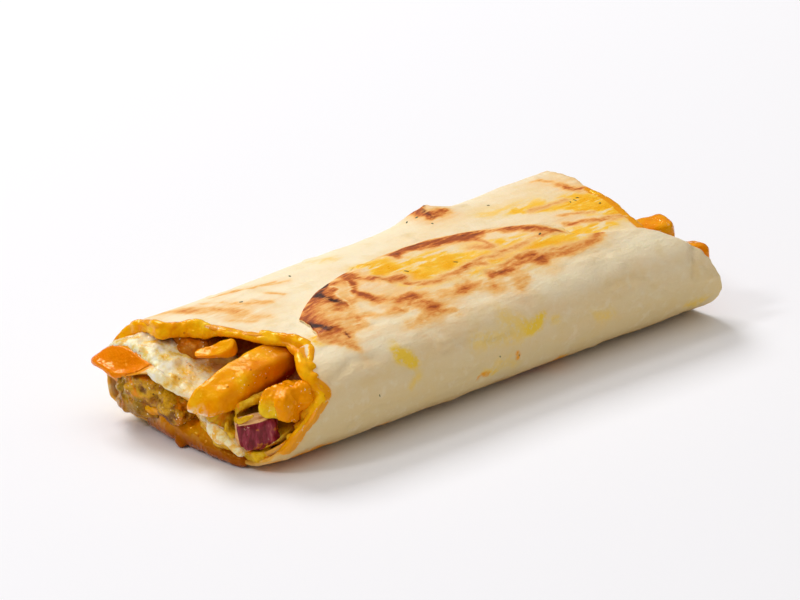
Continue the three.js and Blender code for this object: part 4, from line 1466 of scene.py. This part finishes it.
def shown_fry_mesh():
    """The thick fry, slimmer and drooping at its cut end, with a sauced surface."""
    points, faces = fry_bar(*SHOWN_FRY, seed=1, edge=2.0, squareness=5.0)
    start = np.array(SHOWN_FRY[0])
    along, side, up = (np.array(axis) for axis in bar_axes(*SHOWN_FRY[:2], SHOWN_FRY[4]))
    place = (points - start) @ np.stack([along, side, up], 1)
    tip = smooth((12 - place[:, 0]) / 12)
    place[:, 2] = place[:, 2] * (1 - 0.34 * tip) - 1.1 * tip
    place[:, 1] = place[:, 1] * (1 - 0.15 * tip) + 1.5 * tip
    place[:, 0] = place[:, 0] + tip * (0.8 * (place[:, 2] + 1.1) - 0.34 * (place[:, 1] - 1.5)) - 0.8
    place[:, 2] = place[:, 2] + 1.4 * (1 - smooth((place[:, 0] - 16) / 18))
    points = place @ np.stack([along, side, up]) + start
    mesh = raised((points, faces), 0.22 * rough(points, 2.6, 3, 5) + 0.25 * rough(points, 7, 2, 6))
    return mesh, place


thick_fry, in_fry = shown_fry_mesh()
# Painted shade on the thick fry: past 20 mm along it, where it goes in under the top, and on its lower
# side past 12 mm.
under_top = smooth((in_fry[:, 0] - 20) / 10)
in_shade = smooth((in_fry[:, 0] - 12) / 7) * smooth((2.5 - in_fry[:, 2]) / 3)
sauced_tip = smooth((3.0 - in_fry[:, 0]) / 2) * smooth((-1.5 - in_fry[:, 2]) / 1.5)
add_piece("thick_fry", thick_fry, FRY, "fries", ["shown_fry"],
          deep=np.clip(under_top + in_shade, 0, 1), white=sauced_tip)

scrap_points, scrap_faces = fry_bar(*SMALL_FRY, seed=2, edge=1.6)
scrap_share = smooth((scrap_points[:, 0] + 82.5) / 6)
scrap_points[:, 2] = mix(24.9, scrap_points[:, 2], 0.35 + 0.65 * scrap_share)
scrap = raised((scrap_points, scrap_faces), 0.3 * rough(scrap_points, 2.2, 2, 4))
add_piece("fry_scrap", scrap, FRY, "fries", ["small_fry"])

for i, sizes in enumerate(FAR_FRIES, 1):
    bar = fry_bar(*sizes, seed=2 + i, edge=3.0)
    bar = raised(bar, 0.25 * rough(bar[0], 2.5, 2, 6 + i))
    add_piece(f"end_fry_{i}", bar, FRY, "fries", [f"far_fry_{i}"])


ONION_CENTRE = (-86.3, -25.8, 11.3)
ONION_TURN = (0, -12, -40)


def onion_mesh():
    """A block of three onion layers, a little apart at their edges."""
    layers = [chunk((0, shift, lift), (12, 2.4, 8.8), squareness=3.4, uneven=0.1, seed=i, detail=5)
              for i, (shift, lift) in enumerate(((-2.0, -0.3), (0, 0.2), (2.0, 0)))]
    points, faces = joined(layers)
    pale = smooth((points[:, 2] - 3.0) / 1.0) + smooth((-points[:, 0] - 4.9) / 0.8)
    points[:, 1] = points[:, 1] + 0.02 * points[:, 0] ** 2
    return (in_axes(points, ONION_CENTRE, turned_axes(ONION_TURN)), faces), pale


onion, onion_pale = onion_mesh()
onion = raised(onion, 0.2 * rough(onion[0], 2.5, 2, 8))
add_piece("onion_piece", onion, ONION, "onion", ["red_onion"], pale=onion_pale)

coated = melted([
    chunk((-77.5, -29.8, 19.0), (17, 9.6, 9.6), (0, 10, 14), 5.0, uneven=0.14, seed=4, detail=5),
    *drops([
        (-83, -31.4, 22.2, 1.9), (-79.5, -32.6, 23, 2.2), (-76, -33.4, 23.6, 2.6),
        (-76, -34.4, 20, 2.8), (-79.5, -33.6, 16.4, 1.8),
    ]),
], VOXEL, 2)
coated = raised(coated, 0.6 * rough(coated[0], 3.0, 3, 14))
coat_share = smooth((coated[0][:, 2] - 18) / 6) + smooth((-coated[0][:, 1] - 32) / 3)
add_piece("coated_potato", coated, COATED, "orange_sauce", ["coated_chunk"], coat=coat_share)

# Chicken, slaw and the sauce under them


def flat_face(x):
    return lambda y, z: x + 0 * y


def how_deep(points, near, far):
    """Painted shade from 0 at either end of the roll to 1 inside it, between two places along X."""
    return smooth((points[:, 0] - near) / 8) * smooth((far - points[:, 0]) / 8)


# Chicken in the cavity under the top, browned, and in painted shade all over.
browned = chunk((-77, 11, 24.6), (13, 14, 7), (8, 5, 0), seed=7, detail=5)
browned = raised(browned, 0.6 * rough(browned[0], 3.5, 3, 9))
add_piece("browned_and_shaded_chicken", browned, CHICKEN, "chicken", ["cavity_chicken"],
          deep=np.full(len(browned[0]), 0.85))

pool = sauce_blob([
    chunk((-86, -4, 5), (11, 36, 7), uneven=0.1, seed=11, detail=5),
    *rope([
        (-89.4, 16, 2.8, 2.0), (-89.8, 12, 3.8, 3.0), (-89.4, 6, 4.6, 4.3), (-89, 0, 4.5, 4.2),
        (-89.6, -9, 3.4, 3.2), (-89.8, -18, 2.4, 2.2), (-89, -23, 1.8, 1.7),
    ], 36),
    *drops([(-92.2, 0.6, 2.2, 1.9), (-92.8, -0.4, 1.3, 1.2), (-91.5, 8, 7.2, 2.2), (-91, 3, 7.8, 2.2)]),
], 15, relief=0.22, size=4.0)
add_piece("sauce_pool", pool, SAUCE, "orange_sauce", ["orange_sauce"])

FINE_CHICKEN = (
    ((-92.5, 20, 17), (7, 9, 5), (30, 10, 20), 21),
    ((-91.5, 26.5, 15.5), (6, 7, 7), (0, 20, 40), 22),
    ((-86.5, 21.5, 8.5), (7, 8, 5), (10, 0, 0), 23),
    ((-92.5, 12, 12), (6, 8, 5), (-25, 0, 10), 24),
    ((-92, 5, 14), (7, 7, 5), (20, 30, 0), 25),
    ((-91.5, 14, 7), (6, 9, 4), (0, 10, 0), 26),
)
CHICKEN_STRANDS = (
    (((-90, 26.5, 12), (-93.5, 25, 15), (-94.5, 21, 18)), 2.2),
    (((-93.5, 24, 10), (-95.5, 18, 12.5), (-94, 13, 16)), 2.0),
    (((-93, 18, 19), (-95, 12, 17.5), (-93, 6, 17)), 2.0),
    (((-94, 12, 9), (-95, 8, 12), (-93, 2, 13)), 2.2),
    (((-91.5, 19, 6.5), (-94, 14, 7.5), (-93, 9, 7)), 1.8),
)
lower = lower_outline()
lower_core = plug(lower, LOWER_CENTRE, chicken_near_face, chicken_far_face)
lower_near = plug(lower, LOWER_CENTRE, chicken_near_face, flat_face(-72), far_rings=6, steps=8)
lower_far = plug(lower, LOWER_CENTRE, flat_face(76), chicken_far_face, near_rings=6, steps=8)
near_chunks = [chunk(*sizes, seed=seed) for *sizes, seed in NEAR_CHICKEN + FINE_CHICKEN]
near_chunks += [shred(line, width, 1.8) for line, width in CHICKEN_STRANDS]
far_chunks = [chunk(*sizes, seed=seed) for *sizes, seed in FAR_CHICKEN]
chicken = joined([
    lower_core,
    end_mass(lower_near, near_chunks, VOXEL, 1, 11, 0.85),
    end_mass(lower_far, far_chunks, FAR_VOXEL, 2, 12, 0.5, 3.2),
])
# Painted shade: dark in the hollows of the chicken's relief, and darker inside the roll.
chicken_crevice = smooth((-0.1 - rough(chicken[0], 3.0, 3, 11)) / 0.6)
add_piece("chicken_pile", chicken, CHICKEN, "chicken", ["chicken_filling"],
          deep=how_deep(chicken[0], -86, 84), crevice=chicken_crevice)

chicken_sauce = sauce_blob([
    *rope([
        (-90.5, 26, 12.5, 1.3), (-91, 23.5, 9.5, 1.5), (-92.5, 19, 7.5, 1.8), (-92.8, 13, 8.6, 2.2),
        (-92.4, 6, 9.4, 2.2),
    ], 26),
    *rope([
        (-92.6, 26.4, 17, 1.2), (-94.4, 23.4, 17.5, 1.4), (-94.2, 19, 16, 1.3),
        (-93.4, 15, 14.5, 1.2),
    ], 16),
    *rope([(-92.6, 9, 13.5, 1.3), (-92.6, 4, 13, 1.5), (-92, 0, 11.6, 1.4)], 12),
], 16, relief=0.3, size=2.4)
add_piece("sauce_on_chicken", chicken_sauce, SAUCE, "orange_sauce")

POTATO = (
    ((-90, -13, 12.2), (8, 9, 9), (0, 10, 20), 31),
    ((-90, -18, 8), (8, 8, 6), (0, 0, 10), 32),
    ((-85.5, -25, 3.8), (8, 11, 4), (0, 5, 0), 33),
    ((-80, -12, 20), (8, 7, 6), (10, 0, 0), 34),
)
FINE_SHREDS = (
    (((-79, -20, 14.5), (-83, -23.5, 19), (-87.5, -22.5, 19), (-88, -19, 15.5), (-84, -19, 13.5)), 2.6),
    (((-84, -18, 12), (-89, -20, 14), (-91, -24, 15), (-88, -27, 17)), 2.0),
    (((-80, -8, 18.5), (-87, -10, 18), (-92, -13, 14)), 2.6),
)
upper = upper_outline()
upper_core = plug(upper, UPPER_CENTRE, slaw_near_face, slaw_far_face)
upper_near = plug(upper, UPPER_CENTRE, slaw_near_face, flat_face(-55), far_rings=6, steps=8)
upper_far = plug(upper, UPPER_CENTRE, flat_face(60), slaw_far_face, near_rings=6, steps=8)
near_strips = [shred(line, width) for line, width in NEAR_SHREDS + FINE_SHREDS]
near_strips += [chunk(*sizes, seed=seed) for *sizes, seed in POTATO]
far_strips = [shred(line, width) for line, width in FAR_SHREDS]
slaw = joined([
    upper_core,
    end_mass(upper_near, near_strips, VOXEL, 1, 13, 0.35),
    end_mass(upper_far, far_strips, FAR_VOXEL, 2, 14, 0.35),
])
# Painted shade, darker inside the roll.
slaw_deep = how_deep(slaw[0], -84, 82) * 0.9
add_piece("slaw_pile", slaw, SLAW, "slaw", ["slaw_filling"], deep=slaw_deep)

# Sauce on the bread's rims and on the web

top_band = sauce_blob([
    *rim_rope(near_rim, 150, 187, 0.9, -2.1, 1.6, 41),
    *rim_rope(near_rim, 180, 238, 0.6, -0.5, 1.05, 42, uneven=0.35),
    *rim_rope(near_rim, 150, 191, 0.9, -0.8, 1.3, 43, uneven=0.4),
    *rim_rope(near_rim, 166, 200, 1.5, 0.2, 1.0, 45, uneven=0.6),
    *rope([
        (-69.6, -10, 31.3, 1.3), (-67.2, -15.5, 31.3, 1.5), (-65.4, -20, 31.1, 1.7),
        (-64.6, -24, 30.3, 1.6),
    ], 26),
], 44, softness=5, relief=0.3, size=2.6)
add_piece("sauce_on_top_rim", top_band, SAUCE, "orange_sauce")
wall_band = sauce_blob([
    *rim_rope(near_rim, 29, 52, 1.2, -0.5, 1.4, 51, uneven=0.4),
    *rim_rope(near_rim, 46, 66, 0.9, -0.6, 1.25, 52, uneven=0.3),
    *rope([(-64.6, -24.5, 30.3, 1.5), (-66.6, -27.2, 29.7, 1.5), (-69.4, -29.8, 28.6, 1.4)], 12),
    *drops([
        (-69.6, -35.2, 22.6, 1.7), (-72, -35.2, 21, 2.1), (-74.5, -35.6, 18.6, 2.2),
        (-72.4, -34.2, 26, 1.8), (-70.9, -31.8, 28.1, 1.6), (-76, -35.2, 16, 1.8),
        (-78, -34.8, 12.8, 1.7), (-73, -34.6, 24.2, 1.9), (-80.5, -33.8, 10, 1.3),
    ]),
], 54, softness=10)
add_piece("sauce_on_wall_rim", wall_band, SAUCE, "orange_sauce")
lip_sauce = sauce_blob([
    sheet_coat(329, 354, near_rim, -94.2, 0.55, 82, ragged=0.1),
    *rim_rope(near_rim, 331, 352, 0.5, 0.0, 1.2, 83, uneven=0.15),
], 84, softness=4, relief=0.1)
lip_rich = np.full(len(lip_sauce[0]), 0.85)
add_piece("sauce_on_lip", lip_sauce, SAUCE, "orange_sauce", rich=lip_rich)
far_rope = rim_rope(far_rim, 186, 236, -0.9, -1.0, 1.8, 71, uneven=0.12)
far_band = sauce_blob(far_rope, 74, softness=14)
add_piece("sauce_on_far_rim", far_band, SAUCE, "orange_sauce")


def inside_lip(distance):
    """The near rim, cut short where the lip hangs out."""
    return np.maximum(near_rim(distance), -94.6)


web_cream = melted([
    sheet_coat(330, 392, inside_lip, -69, 0.9, 31, size=6),
    *rim_rope(near_rim, 355, 388, 1.0, 0.1, 1.9, 33, uneven=0.5),
    *rim_rope(near_rim, 384, 395, 1.0, 0.1, 1.2, 34, uneven=0.4),
], VOXEL, 5)
web_cream = raised(web_cream, 0.24 * rough(web_cream[0], 2.4, 2, 35))
web_x, web_y = web_cream[0][:, :2].T
orange_spot = smooth(1 - np.hypot((web_x + 88) / 5, (web_y - 3) / 6))
further_in = smooth((web_x + 84) / 8)
add_piece("web_sauce", web_cream, CREAM, "slaw", stain=np.clip(0.8 * orange_spot + further_in, 0, 1))

# Herbs and pepper on the bread, as (x, y) on top and (x, z) on the shown wall

HERB_PLACES = (
    (67, -3), (69, -2.2), (71, -1.6), (48, 15), (25, 24), (22, 25), (26, 17), (-33, 18),
    (-11, -9), (11, -30), (73, -10), (-58, 12), (5, -14), (38, -17),
)
PEPPER_PLACES = ((-4, 15), (-53, 17), (5, 13), (80, 5), (-30, 24), (45, 22), (62, 14))
HERB_SIZE = 1.0
PEPPER_SIZE = 0.6
FLECK_THICKNESS = 0.22


def fleck(place, normal, size, seed):
    """A dry flake lying on a surface."""
    rng = np.random.default_rng(seed)
    turn = rng.uniform(0, np.pi)
    side = np.cross(normal, (math.sin(turn), math.cos(turn), 0.3))
    side /= np.linalg.norm(side)
    points, faces = ball(2)
    points = np.sign(points) * np.abs(points) ** 0.8
    long = size * rng.uniform(0.7, 1.3)
    wide = size * rng.uniform(0.3, 0.6)
    points = points * (long, wide, FLECK_THICKNESS) / 1.6
    return in_axes(points, place, [side, np.cross(normal, side), normal]), faces


def flecks():
    """All herbs and pepper, lying on the bread's outer skin."""
    normals = vertex_normals(*tortilla).reshape(places.shape)
    found = []
    for axes, spots, facing, size in (
        ([0, 1], HERB_PLACES, normals[..., 2] > 0.6, HERB_SIZE),
        ([0, 2], PEPPER_PLACES, normals[..., 1] < -0.6, PEPPER_SIZE),
    ):
        on_skin = outer & facing & (at < INSIDE_FROM)
        skin, skin_normals = places[on_skin], normals[on_skin]
        for spot in spots:
            i = np.argmin(np.linalg.norm(skin[:, axes] - spot, axis=1))
            found.append(fleck(skin[i], skin_normals[i], size, len(found)))
    return joined(found)


add_piece("herb_flecks", flecks(), HERBS, "bread")

# Camera, floor and light, in metres

CAMERA_AZIMUTH = math.radians(-44)
CAMERA_ELEVATION = math.radians(21.5)
CAMERA_DISTANCE = 1.0
CAMERA_TARGET = Vector(((-5 + ORIGIN[0]) * MM, ORIGIN[1] * MM, 21.5 * MM))
CAMERA_LENS = 148.5
SENSOR_WIDTH = 36

FLOOR_REACH = 6.0
FLOOR_COLOUR = (0.905, 0.907, 0.955, 1)

LIGHTS = (  # as (name, place, aim, size, power)
    ("sparkle", (-1.5, 0.5, 1.4), (-0.08, 0, 0.02), (0.3, 0.3), 8.0),
    ("key", (0.3, 1.9, 2.1), (0, 0, 0.02), (1.3, 1.05), 46),
)

DOME_COLOUR = (1.0, 0.965, 0.905, 1.0)
DOME_HORIZON = 0.035
DOME_TOP = 0.92
DOME_NARROWNESS = 2.6
FILL = 0.26
FILL_DIRECTION = (-0.64, -0.64, 0.42)


def add_camera():
    """The camera at the photograph's viewing angle."""
    data = bpy.data.cameras.new("camera")
    data.lens = CAMERA_LENS
    data.sensor_width = SENSOR_WIDTH
    camera = bpy.data.objects.new("camera", data)
    away = Vector((
        math.sin(CAMERA_AZIMUTH) * math.cos(CAMERA_ELEVATION),
        -math.cos(CAMERA_AZIMUTH) * math.cos(CAMERA_ELEVATION),
        math.sin(CAMERA_ELEVATION),
    ))
    camera.location = CAMERA_TARGET + away * CAMERA_DISTANCE
    camera.rotation_euler = away.to_track_quat("Z", "Y").to_euler()
    bpy.context.scene.collection.objects.link(camera)
    bpy.context.scene.camera = camera


def add_floor():
    """A plain pale floor."""
    mesh = bpy.data.meshes.new("floor")
    signs = ((-1, -1), (1, -1), (1, 1), (-1, 1))
    mesh.from_pydata([(x * FLOOR_REACH, y * FLOOR_REACH, 0) for x, y in signs], [], [(0, 1, 2, 3)])
    s = Surface("floor", Base_Color=FLOOR_COLOUR, Roughness=0.9, Specular_IOR_Level=0.1)
    mesh.materials.append(s.material)
    floor = bpy.data.objects.new("floor", mesh)
    bpy.context.scene.collection.objects.link(floor)


def add_light(name, place, aim, size, power):
    """A soft rectangular lamp."""
    data = bpy.data.lights.new(name, "AREA")
    data.shape = "RECTANGLE"
    data.size, data.size_y = size
    data.energy = power
    light = bpy.data.objects.new(name, data)
    light.location = place
    light.rotation_euler = (Vector(place) - Vector(aim)).to_track_quat("Z", "Y").to_euler()
    bpy.context.scene.collection.objects.link(light)


def add_dome():
    """A soft white dome, brightest overhead, with a soft fill from the camera's side."""
    world = bpy.data.worlds.new("studio")
    bpy.context.scene.world = world
    world.use_nodes = True
    w = Nodes(world.node_tree)
    direction = w.add("TexCoord").outputs["Generated"]
    up = w.maths("MAXIMUM", w.add("SeparateXYZ", {0: direction}).outputs[2])
    overhead = w.times(w.maths("POWER", up, DOME_NARROWNESS), DOME_TOP)
    facing = w.add("VectorMath", {0: direction, 1: FILL_DIRECTION}, operation="DOT_PRODUCT")
    front = w.times(w.maths("MAXIMUM", facing.outputs["Value"]), FILL)
    total = w.plus(w.plus(overhead, front), DOME_HORIZON)
    background = w.tree.nodes["Background"]
    background.inputs["Color"].default_value = DOME_COLOUR
    w.tree.links.new(total, background.inputs["Strength"])


add_camera()
add_floor()
for light in LIGHTS:
    add_light(*light)
add_dome()
bpy.context.scene.view_settings.view_transform = "Standard"
